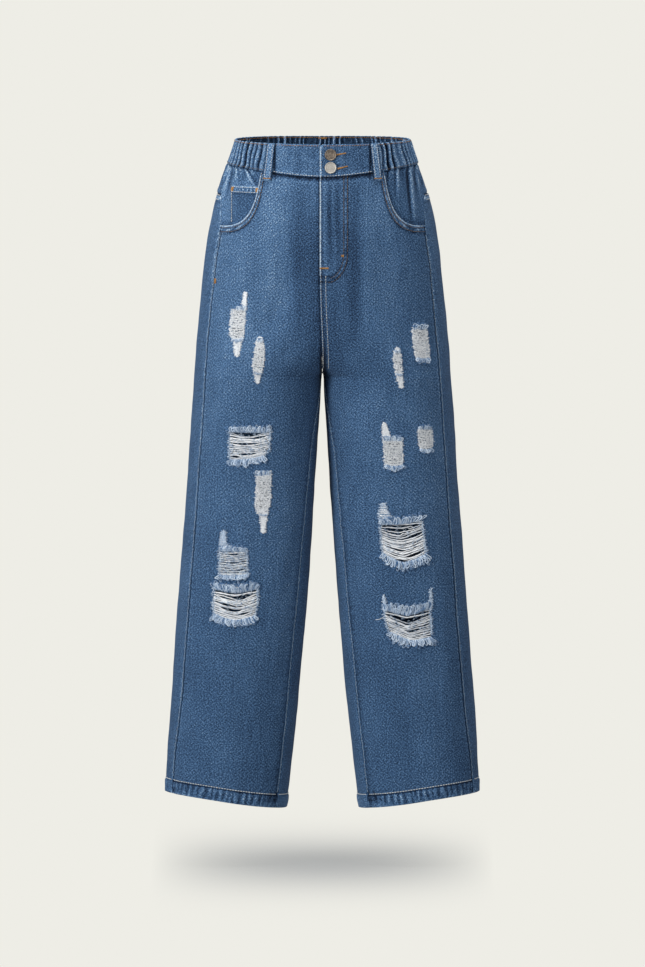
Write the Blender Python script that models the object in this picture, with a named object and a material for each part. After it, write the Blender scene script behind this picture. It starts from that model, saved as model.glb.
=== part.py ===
"""A pair of ripped wide-leg jeans, filled out as if worn: waist and hems open, empty inside.

Metres, +Z up. The front faces -Y and the wearer's left is +X. The origin is the middle of the
waist opening, part way down the waistband, where the wearer's waist holds the jeans up.

Every piece lies on one skin, the outer face of the cloth. A place on the skin has two numbers:
turn, the angle round one leg from its outer side (0) by the front (90 degrees) and the inner
side (180) to the back (270), and drop, the height below the waistband's top edge. One half of
the jeans is worked out and the other is its mirror image, apart from the rips and coin pocket.
"""

import math

import bpy
import numpy as np
from mathutils import Matrix, Vector
from mathutils.geometry import delaunay_2d_cdt

TOP = 0.020
CROTCH_DROP = 0.346
HEM_OUTER_DROP = 0.955
HEM_INNER_DROP = 0.979
HEM_HEIGHT = 0.019
ROUNDNESS = 2.25

SEAM_GAP = 0.0003
DENIM = 0.0016
LAYER_GAP = 0.0003
HEM_RISE = 0.0010

# Half sections of the garment: half width to the outer side, half the gap between the legs,
# and the depth of the front and the back from the side seams' plane
SECTION_COLUMNS = ("drop", "outer", "inner", "front", "back")
SECTIONS = (
    (0.000, 0.1246, 0.00015, 0.089, 0.093),
    (0.018, 0.1300, 0.00015, 0.091, 0.096),
    (0.039, 0.1374, 0.00015, 0.093, 0.101),
    (0.061, 0.1463, 0.00015, 0.097, 0.107),
    (0.091, 0.1555, 0.00015, 0.101, 0.114),
    (0.120, 0.1620, 0.00015, 0.104, 0.120),
    (0.164, 0.1694, 0.00015, 0.108, 0.128),
    (0.236, 0.1774, 0.00015, 0.110, 0.132),
    (0.310, 0.1840, 0.00015, 0.108, 0.127),
    (0.353, 0.1869, 0.0014, 0.104, 0.118),
    (0.441, 0.1929, 0.0068, 0.098, 0.105),
    (0.528, 0.1988, 0.0122, 0.093, 0.097),
    (0.616, 0.2053, 0.0181, 0.089, 0.091),
    (0.704, 0.2119, 0.0246, 0.086, 0.086),
    (0.791, 0.2187, 0.0324, 0.083, 0.082),
    (0.879, 0.2244, 0.0414, 0.079, 0.079),
    (0.945, 0.2281, 0.0486, 0.077, 0.077),
    (0.990, 0.2295, 0.0545, 0.076, 0.076),
)

# Above the crotch the two leg tubes run into each other over this height
FORK_HEIGHT = 0.160
FORK_SHARPNESS = 2.5

# The side seam lies forward of the outline, and the inseam forward of the legs' inner side
SIDE_SEAM_INSET = 0.0150
SIDE_SEAM_HEM_INSET = 0.0090
INSEAM_INSET = 0.0160
INSEAM_EASE = 0.140
FLY_SHIFT = 0.0042

# The fly facing, sewn behind the left front along a J of two stitch rows
FLY_NEAR = 0.0065
FLY_FAR = 0.038
FLY_BEND_DROP = 0.172
FLY_FOOT_DROP = 0.217
FLY_EDGE = 0.0015

# Waistband, elasticated from loop to loop round the back
BAND_HEIGHT = 0.0405
BAND_FRONT_DEEPER = 0.0145
TOP_SIDE_DIP = 0.005
TOP_FRONT_DIP = 0.007
TOP_BACK_DIP = 0.0064
BAND_RISE = 0.0008
BAND_THICK = 0.0030
BAND_CORNER = 0.006
LOOP_X = 0.0745
GATHERS = 62
GATHER_DEPTH = 0.0016
YOKE_GATHERS = 31
YOKE_GATHER_DEPTH = 0.0009

# Front pocket mouth, a quarter of a squared oval from the waist seam to the side seam
MOUTH_X = 0.0885
MOUTH_BOTTOM = 0.1275
MOUTH_SQUARENESS = 3.0
FACING_UNDER = 0.016
FACING_LOWER = 0.003
COIN_NEAR_X = 0.078
COIN_FAR_X = 0.135
COIN_TOP = 0.0685
COIN_BOTTOM = 0.132
COIN_THICK = 0.0012

YOKE_SIDE_DROP = 0.083
YOKE_CENTRE_DROP = 0.112
BACK_POCKET_X = 0.083
BACK_POCKET_TOP = 0.142
BACK_POCKET_WIDTH = 0.134
BACK_POCKET_FOOT = 0.116
BACK_POCKET_HEIGHT = 0.132
BACK_POCKET_POINT = 0.018
POCKET_THICK = 0.0014

LOOP_WIDTH = 0.0100
LOOP_THICK = 0.0015
LOOP_STAND_OFF = 0.0022
LOOP_PAST_BAND = 0.012
BACK_LOOP_X = 0.088

BUTTON_RADIUS = 0.0086
BUTTON_X = 0.0117
BUTTON_DROPS = {"button_upper": 0.0222, "button_lower": 0.0412}
BUTTON_SEGMENTS = 20

THREAD = 0.0011
YARN_PITCH = 0.0042
YARN_RIDGE = 0.0003
FRAY_RAMP = 0.003

# Each rip: which leg, its edges near to and far from the centre line at top and bottom, the
# drops of its top and bottom, the frayed strands on each, and a longer frayed tail at the top's
# near and far corners
RIP_COLUMNS = (
    "name", "side", "near_top", "far_top", "near_foot", "far_foot", "top", "foot",
    "top_strands", "foot_strands", "strand", "near_tail", "far_tail",
)
RIPS = (
    ("rip_right_hip", -1, 0.1115, 0.1335, 0.1125, 0.1340, 0.246, 0.297, 4, 4, 0.007, 0.024, 0),
    ("rip_right_thigh", -1, 0.0845, 0.0975, 0.0865, 0.0950, 0.291, 0.342, 2, 2, 0.006, 0, 0),
    ("rip_right_knee", -1, 0.0760, 0.1365, 0.0775, 0.1375, 0.425, 0.468, 12, 11, 0.011, 0, 0),
    ("rip_right_under_knee", -1, 0.0750, 0.0955, 0.0830, 0.0900, 0.492, 0.558, 5, 2, 0.007, 0, 0),
    ("rip_right_shin", -1, 0.1090, 0.1495, 0.1100, 0.1500, 0.599, 0.634, 7, 6, 0.006, 0, 0.027),
    ("rip_right_calf", -1, 0.0940, 0.1570, 0.0960, 0.1580, 0.656, 0.699, 13, 12, 0.011, 0, 0),
    ("rip_left_thigh", 1, 0.1030, 0.1140, 0.1120, 0.1190, 0.306, 0.351, 2, 2, 0.006, 0, 0),
    ("rip_left_hip", 1, 0.1330, 0.1525, 0.1350, 0.1535, 0.274, 0.312, 4, 4, 0.009, 0, 0),
    ("rip_left_knee", 1, 0.0900, 0.1150, 0.0915, 0.1165, 0.436, 0.472, 5, 6, 0.009, 0.023, 0),
    ("rip_left_knee_outer", 1, 0.1400, 0.1575, 0.1415, 0.1580, 0.420, 0.452, 3, 4, 0.008, 0, 0),
    ("rip_left_shin", 1, 0.0855, 0.1480, 0.0880, 0.1500, 0.561, 0.608, 11, 13, 0.012, 0.030, 0),
    ("rip_left_calf", 1, 0.0920, 0.1570, 0.0945, 0.1590, 0.684, 0.727, 12, 13, 0.011, 0.020, 0.022),
)

# Gaps between the white yarns: where each starts and ends across its rip from the near edge,
# how far down it lies, all as shares, and how high it stands open
GAP_COLUMNS = ("rip", "start", "end", "level", "height")
GAPS = (
    ("rip_right_knee", 0.14, 0.84, 0.08, 0.0054),
    ("rip_right_knee", 0.30, 0.84, 0.42, 0.0028),
    ("rip_right_knee", 0.30, 0.70, 0.78, 0.0028),
    ("rip_right_shin", 0.28, 0.72, 0.10, 0.0024),
    ("rip_right_calf", 0.14, 0.56, 0.12, 0.0050),
    ("rip_right_calf", 0.42, 0.86, 0.46, 0.0036),
    ("rip_right_calf", 0.28, 0.84, 0.72, 0.0036),
    ("rip_left_shin", 0.14, 0.70, 0.14, 0.0044),
    ("rip_left_shin", 0.42, 0.90, 0.40, 0.0034),
    ("rip_left_shin", 0.28, 0.70, 0.84, 0.0044),
    ("rip_left_calf", 0.14, 0.84, 0.16, 0.0044),
    ("rip_left_calf", 0.30, 0.86, 0.58, 0.0030),
)
YARN_SAG = 0.0035

# Large soft folds: their turn, the drops between which they lie, their half width in degrees
# and how far they stand out, or in if negative
FOLD_COLUMNS = ("side", "turn", "start", "end", "spread", "height")
FOLDS = (
    (-1, 66, 0.07, 0.34, 7.0, -0.0022),
    (-1, 52, 0.05, 0.30, 6.0, 0.0016),
    (-1, 128, 0.42, 0.70, 13.0, 0.0022),
    (-1, 62, 0.50, 0.86, 12.0, -0.0020),
    (1, 70, 0.07, 0.30, 6.0, -0.0018),
    (1, 58, 0.06, 0.32, 7.0, 0.0018),
    (1, 48, 0.16, 0.40, 8.0, -0.0016),
    (1, 124, 0.46, 0.80, 12.0, 0.0020),
    (1, 66, 0.60, 0.90, 11.0, -0.0018),
    (-1, 232, 0.30, 0.46, 12.0, -0.0035),
    (-1, 262, 0.34, 0.56, 11.0, 0.0030),
    (-1, 296, 0.50, 0.84, 13.0, -0.0028),
    (1, 236, 0.31, 0.48, 12.0, -0.0035),
    (1, 266, 0.33, 0.54, 11.0, 0.0030),
    (1, 300, 0.46, 0.80, 13.0, -0.0028),
)

GIRTH = 0.100
SEAM_TURN = 0.0021
NO_LIFT = 0.0

# Drops of the points that a front and a back panel share along their seams
YOKE_ROWS = (0.0, 0.4, 0.75, 1.0)
YOKE_COLUMNS = 36
UPPER_SIDE_DROPS = np.linspace(YOKE_SIDE_DROP, MOUTH_BOTTOM, 4)[:-1]
SIDE_DROPS = np.linspace(MOUTH_BOTTOM, HEM_OUTER_DROP - 0.022, 25)
INSEAM_DROPS = np.linspace(CROTCH_DROP, HEM_INNER_DROP - 0.024, 20)

COLOURS = {
    "denim": (0.085, 0.170, 0.330),
    "denim_worn": (0.130, 0.225, 0.390),
    "weft": (0.700, 0.720, 0.730),
    "bronze": (0.230, 0.190, 0.160),
    "nickel": (0.560, 0.530, 0.480),
}


def column(rows, names, name):
    """One named column of a table, as an array."""
    return np.array([row[names.index(name)] for row in rows], float)


def smooth_rows(rows, names, name, drop):
    """A table's column at a drop, on one smooth curve through its rows."""
    at = column(rows, names, names[0])
    value = column(rows, names, name)
    slope = np.gradient(value, at)
    i = np.clip(np.searchsorted(at, drop, side="right") - 1, 0, len(at) - 2)
    step = at[i + 1] - at[i]
    t = np.clip((drop - at[i]) / step, 0, 1)
    return (
        value[i] * (1 + 2 * t) * (1 - t) ** 2
        + value[i + 1] * t * t * (3 - 2 * t)
        + step * t * (1 - t) * (slope[i] * (1 - t) - slope[i + 1] * t)
    )


def ease(t):
    """0 to 1 with level ends."""
    t = np.clip(t, 0, 1)
    return t * t * (3 - 2 * t)


def section(drop):
    """Centre, half width, front depth and back depth of one leg's section."""
    drop = np.asarray(drop, float)
    outer = smooth_rows(SECTIONS, SECTION_COLUMNS, "outer", drop)
    inner = smooth_rows(SECTIONS, SECTION_COLUMNS, "inner", drop)
    inner = np.maximum(inner, SEAM_GAP / 2)
    rise = np.clip((CROTCH_DROP - drop) / FORK_HEIGHT, 0, 1)
    share = (1 - rise) ** FORK_SHARPNESS
    above = drop <= CROTCH_DROP
    half = np.where(above, outer / (1 + share), (outer - inner) / 2)
    front = smooth_rows(SECTIONS, SECTION_COLUMNS, "front", drop)
    back = smooth_rows(SECTIONS, SECTION_COLUMNS, "back", drop)
    return outer - half, half, front, back


def bare_skin(turn, drop):
    """The skin with no folds: each section is a rounded oval in polar form."""
    centre, half, front, back = section(drop)
    c, s = np.cos(turn), np.sin(turn)
    depth = np.where(s > 0, front, back)
    reach = (np.abs(c) / half) ** ROUNDNESS + (np.abs(s) / depth) ** ROUNDNESS
    radius = reach ** (-1 / ROUNDNESS)
    return np.stack([centre + radius * c, -radius * s, TOP - drop], axis=-1)


def fold_lift(side, turn, drop):
    """How far the large folds move the skin out at a place: a bell across, level at both ends."""
    lift = np.zeros(np.broadcast(side, turn, drop).shape)
    degrees = np.degrees(turn) % 360
    for row in FOLDS:
        fold = dict(zip(FOLD_COLUMNS, row))
        across = np.exp(-(((degrees - fold["turn"]) / fold["spread"]) ** 2))
        down = np.clip((drop - fold["start"]) / (fold["end"] - fold["start"]), 0, 1)
        bell = fold["height"] * across * np.sin(math.pi * down) ** 2
        lift = lift + np.where(side == fold["side"], bell, 0)
    return lift


def skin(side, turn, drop, lift=NO_LIFT):
    """Points on the cloth's outer face, moved out by lift along its normal."""
    side, turn, drop, lift = np.broadcast_arrays(
        *[np.asarray(a, float) for a in (side, turn, drop, lift)]
    )
    nudge = 1e-4
    across = bare_skin(turn + nudge, drop) - bare_skin(turn - nudge, drop)
    down = bare_skin(turn, drop + nudge) - bare_skin(turn, drop - nudge)
    normal = np.cross(across, down)
    normal /= np.linalg.norm(normal, axis=-1, keepdims=True)
    points = bare_skin(turn, drop) + normal * (lift + fold_lift(side, turn, drop))[..., None]
    points[..., 0] *= side
    return points


def turn_at(x, drop, front=True):
    """The turn of the place at a distance x from the centre plane, on the front or the back."""
    centre, half, front_depth, back_depth = section(drop)
    reach = np.clip(np.abs(x - centre) / half, 0, 1)
    depth = front_depth if front else back_depth
    y = depth * (1 - reach**ROUNDNESS) ** (1 / ROUNDNESS)
    angle = np.arctan2(y, x - centre)
    return angle if front else 2 * math.pi - angle


def side_seam(drop):
    """Turn of the side seam: at the outline under the waistband, then forward of it."""
    centre, half, _, _ = section(drop)
    inset = SIDE_SEAM_INSET * ease((drop - BAND_HEIGHT) / 0.10)
    inset = inset - (SIDE_SEAM_INSET - SIDE_SEAM_HEM_INSET) * ease((drop - 0.78) / 0.17)
    return turn_at(centre + half - inset, drop)


def inseam(drop):
    """Turn of the inseam: from the crotch point it eases forward down the leg."""
    centre, half, _, _ = section(drop)
    inset = INSEAM_INSET * (1 - np.exp(-(np.asarray(drop) - CROTCH_DROP) / INSEAM_EASE))
    return turn_at(centre - half + inset, drop)


def fly_x(drop):
    """Distance of the front seam to the wearer's right of the centre plane."""
    centre, half, _, _ = section(drop)
    return FLY_SHIFT * np.clip(1 - centre / half, 0, 1) ** 3


def front_seam(side, drop):
    """Turn of the front seam on one side, half a seam gap from it."""
    return turn_at(-side * fly_x(drop) + SEAM_GAP / 2, drop)


def back_seam(drop):
    """Turn of the seat seam, half a seam gap from it."""
    return turn_at(SEAM_GAP / 2, drop, front=False)


def band_top(turn):
    """Drop of the waistband's top edge, highest at the sides and lowest at the front."""
    dip = np.where(np.sin(turn) > 0, TOP_FRONT_DIP, TOP_BACK_DIP)
    return TOP_SIDE_DIP + (dip - TOP_SIDE_DIP) * np.sin(turn) ** 2


def waist_seam(turn):
    """Drop of the seam under the waistband, which is deeper at the front."""
    return BAND_HEIGHT + BAND_FRONT_DEEPER * np.maximum(np.sin(turn), 0) ** 2


def hem_edge(turn):
    """Drop of the hem, which falls from the outer side to the inner side of the leg."""
    return HEM_OUTER_DROP + (HEM_INNER_DROP - HEM_OUTER_DROP) * (1 - np.cos(turn)) / 2


def yoke_seam(turn):
    """Drop of the yoke's lower edge, from the side seam down to the seat seam."""
    return YOKE_SIDE_DROP + (YOKE_CENTRE_DROP - YOKE_SIDE_DROP) * np.maximum(-np.sin(turn), 0) ** 1.5


def yoke_turns(drop):
    """Turns of the yoke's columns, from the side seam to the seat seam."""
    start = float(side_seam(drop)) - SEAM_TURN
    return np.linspace(start, -math.pi / 2 + SEAM_TURN, YOKE_COLUMNS + 1)


def line(turns, drops):
    """A polyline on the flat layout: girth along, drop down."""
    turns, drops = np.broadcast_arrays(turns, drops)
    return np.stack([turns * GIRTH, drops], axis=-1)


def mouth_start():
    """Turn and drop of the pocket mouth's end at the waist seam."""
    drop = float(waist_seam(turn_at(MOUTH_X, BAND_HEIGHT))) + SEAM_GAP
    return float(turn_at(MOUTH_X, drop)), drop


def mouth(count=13):
    """The pocket mouth from the waist seam to the side seam."""
    swing = np.linspace(0, math.pi / 2, count)
    turn_in, start = mouth_start()
    drops = start + (MOUTH_BOTTOM - start) * np.sin(swing) ** (2 / MOUTH_SQUARENESS)
    turn_out = float(side_seam(MOUTH_BOTTOM)) + SEAM_TURN
    across = np.maximum(np.cos(swing), 0) ** (2 / MOUTH_SQUARENESS)
    return line(turn_out + (turn_in - turn_out) * across, drops)


def inside(points, loop):
    """Which points lie in a closed loop, by the even-odd rule."""
    x, y = points[:, 0][:, None], points[:, 1][:, None]
    x0, y0 = loop[:, 0], loop[:, 1]
    x1, y1 = np.roll(x0, -1), np.roll(y0, -1)
    spans = (y0 > y) != (y1 > y)
    rise = np.where(y1 == y0, 1, y1 - y0)
    return (spans & (x < (x1 - x0) * (y - y0) / rise + x0)).sum(axis=1) % 2 == 1


def off_lines(points, lines, steps):
    """Which points lie clear of the lines, by half a lattice step."""
    clear = np.ones(len(points), bool)
    scale = 1 / np.asarray(steps)
    for path in lines:
        a, b = path[:-1] * scale, path[1:] * scale
        for start, end in zip(a, b):
            way = end - start
            t = np.clip((points * scale - start) @ way / max(way @ way, 1e-12), 0, 1)
            gap = np.linalg.norm(points * scale - start - t[:, None] * way, axis=1)
            clear &= gap > 0.42
    return clear


def closed(loop):
    """A loop with its first point again at its end."""
    return np.vstack([loop, loop[:1]])


def layout(loops, steps, lines=()):
    """Triangles of a flat layout that follow every loop and line, over a lattice of points."""
    paths = [closed(loop) for loop in loops] + list(lines)
    corners = np.vstack(paths)
    low, high = corners.min(axis=0), corners.max(axis=0)
    across = np.arange(low[0], high[0], steps[0])
    down = np.arange(low[1], high[1], steps[1])
    lattice = np.array([(x, y) for x in across for y in down])
    held = np.zeros(len(lattice), bool)
    for loop in loops:
        held |= inside(lattice, loop)
    lattice = lattice[held & off_lines(lattice, paths, steps)]
    points, edges = [tuple(p) for p in lattice], []
    for path in paths:
        start = len(points)
        points += [tuple(p) for p in path]
        edges += [(start + i, start + i + 1) for i in range(len(path) - 1)]
    flat, _, faces, *_ = delaunay_2d_cdt([Vector(p) for p in points], edges, [], 0, 1e-7)
    return np.array([tuple(p) for p in flat]), np.array(faces)


def pick(flat, faces, outline, holes=()):
    """The triangles of a layout that lie in an outline and in none of its holes."""
    middles = flat[faces].mean(axis=1)
    kept = inside(middles, outline)
    for hole in holes:
        kept &= ~inside(middles, hole)
    return faces[kept]


def make_object(name, points, faces, colour):
    """One object from points and faces that make a closed shape, with its material."""
    a, b, c = (points[faces[:, i]] for i in range(3))
    if np.einsum("ij,ij->i", a, np.cross(b, c)).sum() < 0:
        faces = faces[:, ::-1]
    mesh = bpy.data.meshes.new(name)
    mesh.from_pydata(points.tolist(), [], faces.tolist())
    mesh.shade_smooth()
    mesh.set_sharp_from_angle(angle=math.radians(40))
    mesh.materials.append(MATERIALS[colour])
    obj = bpy.data.objects.new(name, mesh)
    bpy.context.scene.collection.objects.link(obj)
    return obj


def wall(name, side, flat, faces, colour, thick=DENIM, lift=lambda turn, drop: NO_LIFT * turn):
    """A cloth wall: a layout's triangles on the skin at a lift, the same ones a thickness below,
    and a strip round every edge. Sides may be one number or one for each point."""
    used, index = np.unique(faces, return_inverse=True)
    faces = index.reshape(faces.shape)
    turn, drop = flat[used, 0] / GIRTH, flat[used, 1]
    own = np.where(turn < -math.pi / 2, -1, side)
    turn = np.where(turn < -math.pi / 2, -math.pi - turn, turn)
    outer_lift = lift(flat[used, 0] / GIRTH, drop)
    outer = skin(own, turn, drop, outer_lift)
    inner = skin(own, turn, drop, outer_lift - thick)
    ends = np.concatenate([faces[:, [0, 1]], faces[:, [1, 2]], faces[:, [2, 0]]])
    keys = np.sort(ends, axis=1)
    _, first, count = np.unique(keys, axis=0, return_index=True, return_counts=True)
    rim = ends[first[count == 1]]
    n = len(used)
    strip = np.vstack(
        [
            np.column_stack([rim[:, 1], rim[:, 0], rim[:, 0] + n]),
            np.column_stack([rim[:, 1], rim[:, 0] + n, rim[:, 1] + n]),
        ]
    )
    return make_object(
        name, np.vstack([outer, inner]), np.vstack([faces, faces[:, ::-1] + n, strip]), colour
    )


def make_materials():
    """One plain material for each colour of cloth, yarn and metal."""
    made = {}
    for name, colour in COLOURS.items():
        material = bpy.data.materials.new(name)
        material.use_nodes = True
        shader = material.node_tree.nodes["Principled BSDF"]
        shader.inputs["Base Color"].default_value = (*colour, 1)
        metal = name in ("bronze", "nickel")
        shader.inputs["Metallic"].default_value = 1.0 if metal else 0.0
        shader.inputs["Roughness"].default_value = 0.38 if metal else 0.92
        made[name] = material
    return made


def rip_shape(rip):
    """The rip's row as a dict, with functions for the place at a share across it and a drop."""
    row = dict(zip(RIP_COLUMNS, rip))

    def place(share, drop, inset=0.0):
        down = (drop - row["top"]) / (row["foot"] - row["top"])
        near = row["near_top"] + (row["near_foot"] - row["near_top"]) * down + inset
        far = row["far_top"] + (row["far_foot"] - row["far_top"]) * down - inset
        return turn_at(near + (far - near) * share, drop)

    row["place"] = place
    return row


def rip_hole(row):
    """The hole that the rip leaves in the front panel."""
    shares = np.array([0, 0.25, 0.5, 0.75, 1.0])
    top = line(row["place"](shares, row["top"]), row["top"])
    sides = np.linspace(row["top"], row["foot"], 5)[1:-1]
    far = line(row["place"](1.0, sides), sides)
    foot = line(row["place"](shares[::-1], row["foot"]), row["foot"])
    near = line(row["place"](0.0, sides[::-1]), sides[::-1])
    return np.vstack([top, far, foot, near])


def frayed_edge(row, edge, way, count):
    """The comb of strands along the top (way -1) or foot (way 1) of a rip, near to far: two
    points at each strand's root and two at its tip, uneven in length and lean."""
    comb = []
    root = row[edge] - way * 0.0010
    pitch = 1.0 / count
    for i in range(count):
        middle = (i + 0.5) * pitch
        length = row["strand"] * (0.80 + 0.30 * math.sin(2.4 * i + way))
        lean = 0.18 * pitch * math.sin(1.7 * i + 2 * way)
        root_half, tip_half = 0.34 * pitch, 0.18 * pitch
        tail = {0: row["near_tail"], count - 1: row["far_tail"]}.get(i, 0) if way < 0 else 0
        if tail:
            length, lean, root_half = tail, 0.0, 0.46 * pitch
        tip = row[edge] + way * length
        comb += [(middle - root_half, root), (middle - tip_half + lean, tip)]
        comb += [(middle + tip_half + lean, tip), (middle + root_half, root)]
    return comb


def yarn_rows(row):
    """Drops of the rows of yarn across a rip at evenly spaced shares, sagging in the middle and
    parted round each gap, and the gaps as (row above, first and last column)."""
    columns = max(3, round((row["far_top"] - row["near_top"]) / 0.0085))
    shares = np.linspace(0, 1, columns + 1)
    start, end = row["top"] + FRAY_RAMP, row["foot"] - FRAY_RAMP
    count = max(3, round((end - start) / YARN_PITCH))
    levels = np.linspace(start, end, count + 1)
    loose = np.sin(math.pi * np.linspace(0, 1, count + 1))[:, None]
    drops = levels[:, None] + YARN_SAG * loose * np.sin(math.pi * shares) ** 1.5
    gaps = []
    for gap_row in GAPS:
        gap = dict(zip(GAP_COLUMNS, gap_row))
        if gap["rip"] != row["name"]:
            continue
        above = int(np.clip(round(gap["level"] * count), 0, count - 1))
        i, j = round(gap["start"] * columns), round(gap["end"] * columns)
        bulge = np.zeros(columns + 1)
        bulge[i : j + 1] = np.sin(math.pi * np.linspace(0, 1, j - i + 1)) * gap["height"] / 2
        fade = np.exp(-np.abs(np.arange(count + 1) - above - 0.5) / 1.6)
        way = np.where(np.arange(count + 1) <= above, -1, 1) * fade
        way[[0, -1]] = 0 if 0 < above < count - 1 else way[[0, -1]]
        drops = drops + way[:, None] * bulge
        gaps.append((above, i, j))
    return shares, drops, gaps


def build_rip(row):
    """The white yarns left across a rip, with gaps between them, and the frayed strands that
    lie over the denim above and below it, as one piece."""
    side, inset = row["side"], SEAM_GAP
    shares, drops, gaps = yarn_rows(row)
    top = frayed_edge(row, "top", -1, row["top_strands"])
    foot = frayed_edge(row, "foot", 1, row["foot_strands"])
    height = row["foot"] - row["top"]
    sides = row["top"] + height * np.array([0.25, 0.5, 0.75])

    def on_skin(pairs):
        share, drop = np.array(pairs, float).T
        return line(row["place"](share, drop, inset), drop)

    outline = np.vstack(
        [
            on_skin(top),
            on_skin([(1, d) for d in sides]),
            on_skin(foot[::-1]),
            on_skin([(0, d) for d in sides[::-1]]),
        ]
    )
    rows = [on_skin(list(zip(shares[1:-1], d[1:-1]))) for d in drops]
    holes = []
    for above, i, j in gaps:
        upper = list(zip(shares[i : j + 1], drops[above, i : j + 1]))
        lower = list(zip(shares[i + 1 : j], drops[above + 1, i + 1 : j]))[::-1]
        middle = (drops[above] + drops[above + 1]) / 2
        ends = [(shares[j], middle[j])], [(shares[i], middle[i])]
        holes.append(on_skin(upper[1:-1] + ends[0] + lower + ends[1]))
    flat, faces = layout([outline] + holes, (1.0, 1.0), rows)
    faces = pick(flat, faces, outline, holes)
    raised = LAYER_GAP + THREAD

    def lift(turn, drop):
        edge = np.minimum(drop - row["top"], row["foot"] - drop)
        ramp = 1 - np.clip((edge - 0.0010) / FRAY_RAMP, 0, 1)
        curl = 0.0012 * np.clip(-edge / row["strand"], 0, 1)
        ridge = YARN_RIDGE * np.sin(2 * math.pi * (drop - row["top"]) / YARN_PITCH)
        return (raised + curl) * ramp + (ridge - YARN_RIDGE) * (1 - ramp)

    wall(row["name"], side, flat, faces, "weft", THREAD, lift)


def front_outline(side):
    """The front panel: waist seam, pocket mouth, side seam, hem, inseam and front seam."""
    waist_start = float(waist_seam(math.pi / 2)) + SEAM_GAP
    start = float(front_seam(side, waist_start))
    waist = np.linspace(start, mouth_start()[0], 7)[:-1]
    hem = np.linspace(float(side_seam(0.95)) + SEAM_TURN, float(inseam(0.97)) - SEAM_TURN, 10)
    curve = CROTCH_DROP - (CROTCH_DROP - waist_start) * np.linspace(0, 1, 16) ** 1.6
    return np.vstack(
        [
            line(waist, waist_seam(waist) + SEAM_GAP),
            mouth(),
            line(side_seam(SIDE_DROPS[1:]) + SEAM_TURN, SIDE_DROPS[1:]),
            line(hem, hem_edge(hem)),
            line(inseam(INSEAM_DROPS[::-1]) - SEAM_TURN, INSEAM_DROPS[::-1]),
            line(front_seam(side, curve[:-1]), curve[:-1]),
        ]
    )


def facing_outline():
    """The pocket facing, which shows in the mouth and runs on behind the front panel."""
    start, top = mouth_start()
    near, foot = MOUTH_X - FACING_UNDER, MOUTH_BOTTOM + FACING_UNDER
    upper = np.linspace(start, float(side_seam(BAND_HEIGHT)) + SEAM_TURN, 10)[1:]
    yoke_rows = BAND_HEIGHT + (YOKE_SIDE_DROP - BAND_HEIGHT) * np.array(YOKE_ROWS[1:-1])
    along = np.concatenate([yoke_rows, UPPER_SIDE_DROPS, [MOUTH_BOTTOM, foot]])
    lower = np.linspace(float(turn_at(near, foot)), float(side_seam(foot)), 6)[:-1]
    return np.vstack(
        [
            line(np.array([float(turn_at(near, top)), start]), np.array([top + FACING_LOWER, top])),
            line(upper, waist_seam(upper) + SEAM_GAP),
            line(side_seam(along) + SEAM_TURN, along),
            line(lower[::-1], foot),
        ]
    )


def fly_outline():
    """The fly facing: an edge along the front seam, and a far edge that bends to meet it."""
    drops = np.linspace(float(waist_seam(math.pi / 2)) + FACING_LOWER, FLY_BEND_DROP, 5)
    swing = np.linspace(0, math.pi / 2, 7)
    bend_drops = FLY_BEND_DROP + (FLY_FOOT_DROP - FLY_BEND_DROP) * np.sin(swing)
    bend_x = FLY_NEAR + (FLY_FAR - FLY_NEAR) * np.cos(swing)
    back = np.linspace(FLY_FOOT_DROP, drops[0], 7)
    return np.vstack(
        [
            line(turn_at(FLY_FAR, drops[:-1]), drops[:-1]),
            line(turn_at(bend_x, bend_drops), bend_drops),
            line(turn_at(FLY_EDGE - fly_x(back), back), back),
        ]
    )


def coin_outline():
    """The coin pocket, on the facing inside the right pocket mouth."""
    drops = np.linspace(COIN_TOP, COIN_BOTTOM, 4)
    near = line(turn_at(COIN_NEAR_X, drops[::-1]), drops[::-1])
    far = line(turn_at(COIN_FAR_X, drops), drops)
    across = np.linspace(COIN_NEAR_X, COIN_FAR_X, 4)[1:-1]
    top = line(turn_at(across, COIN_TOP), COIN_TOP)
    foot = line(turn_at(across[::-1], COIN_BOTTOM), COIN_BOTTOM)
    return np.vstack([near[-1:], top, far, foot, near[:-1]])


def hem_line(turns, below):
    """The fold line of the hem, or the line a little below it where the hem stands proud."""
    return line(turns, hem_edge(turns) - HEM_HEIGHT + below)


def hem_lift(turn, drop):
    """The hem stands proud of the leg by its extra layers."""
    return np.where(drop > hem_edge(turn) - HEM_HEIGHT + 0.0004, HEM_RISE, NO_LIFT)


def facing_lift(side):
    """Under the front panel, and on the right also under the coin pocket."""
    depth = DENIM + LAYER_GAP
    return -depth - (COIN_THICK + LAYER_GAP if side < 0 else 0)


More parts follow.
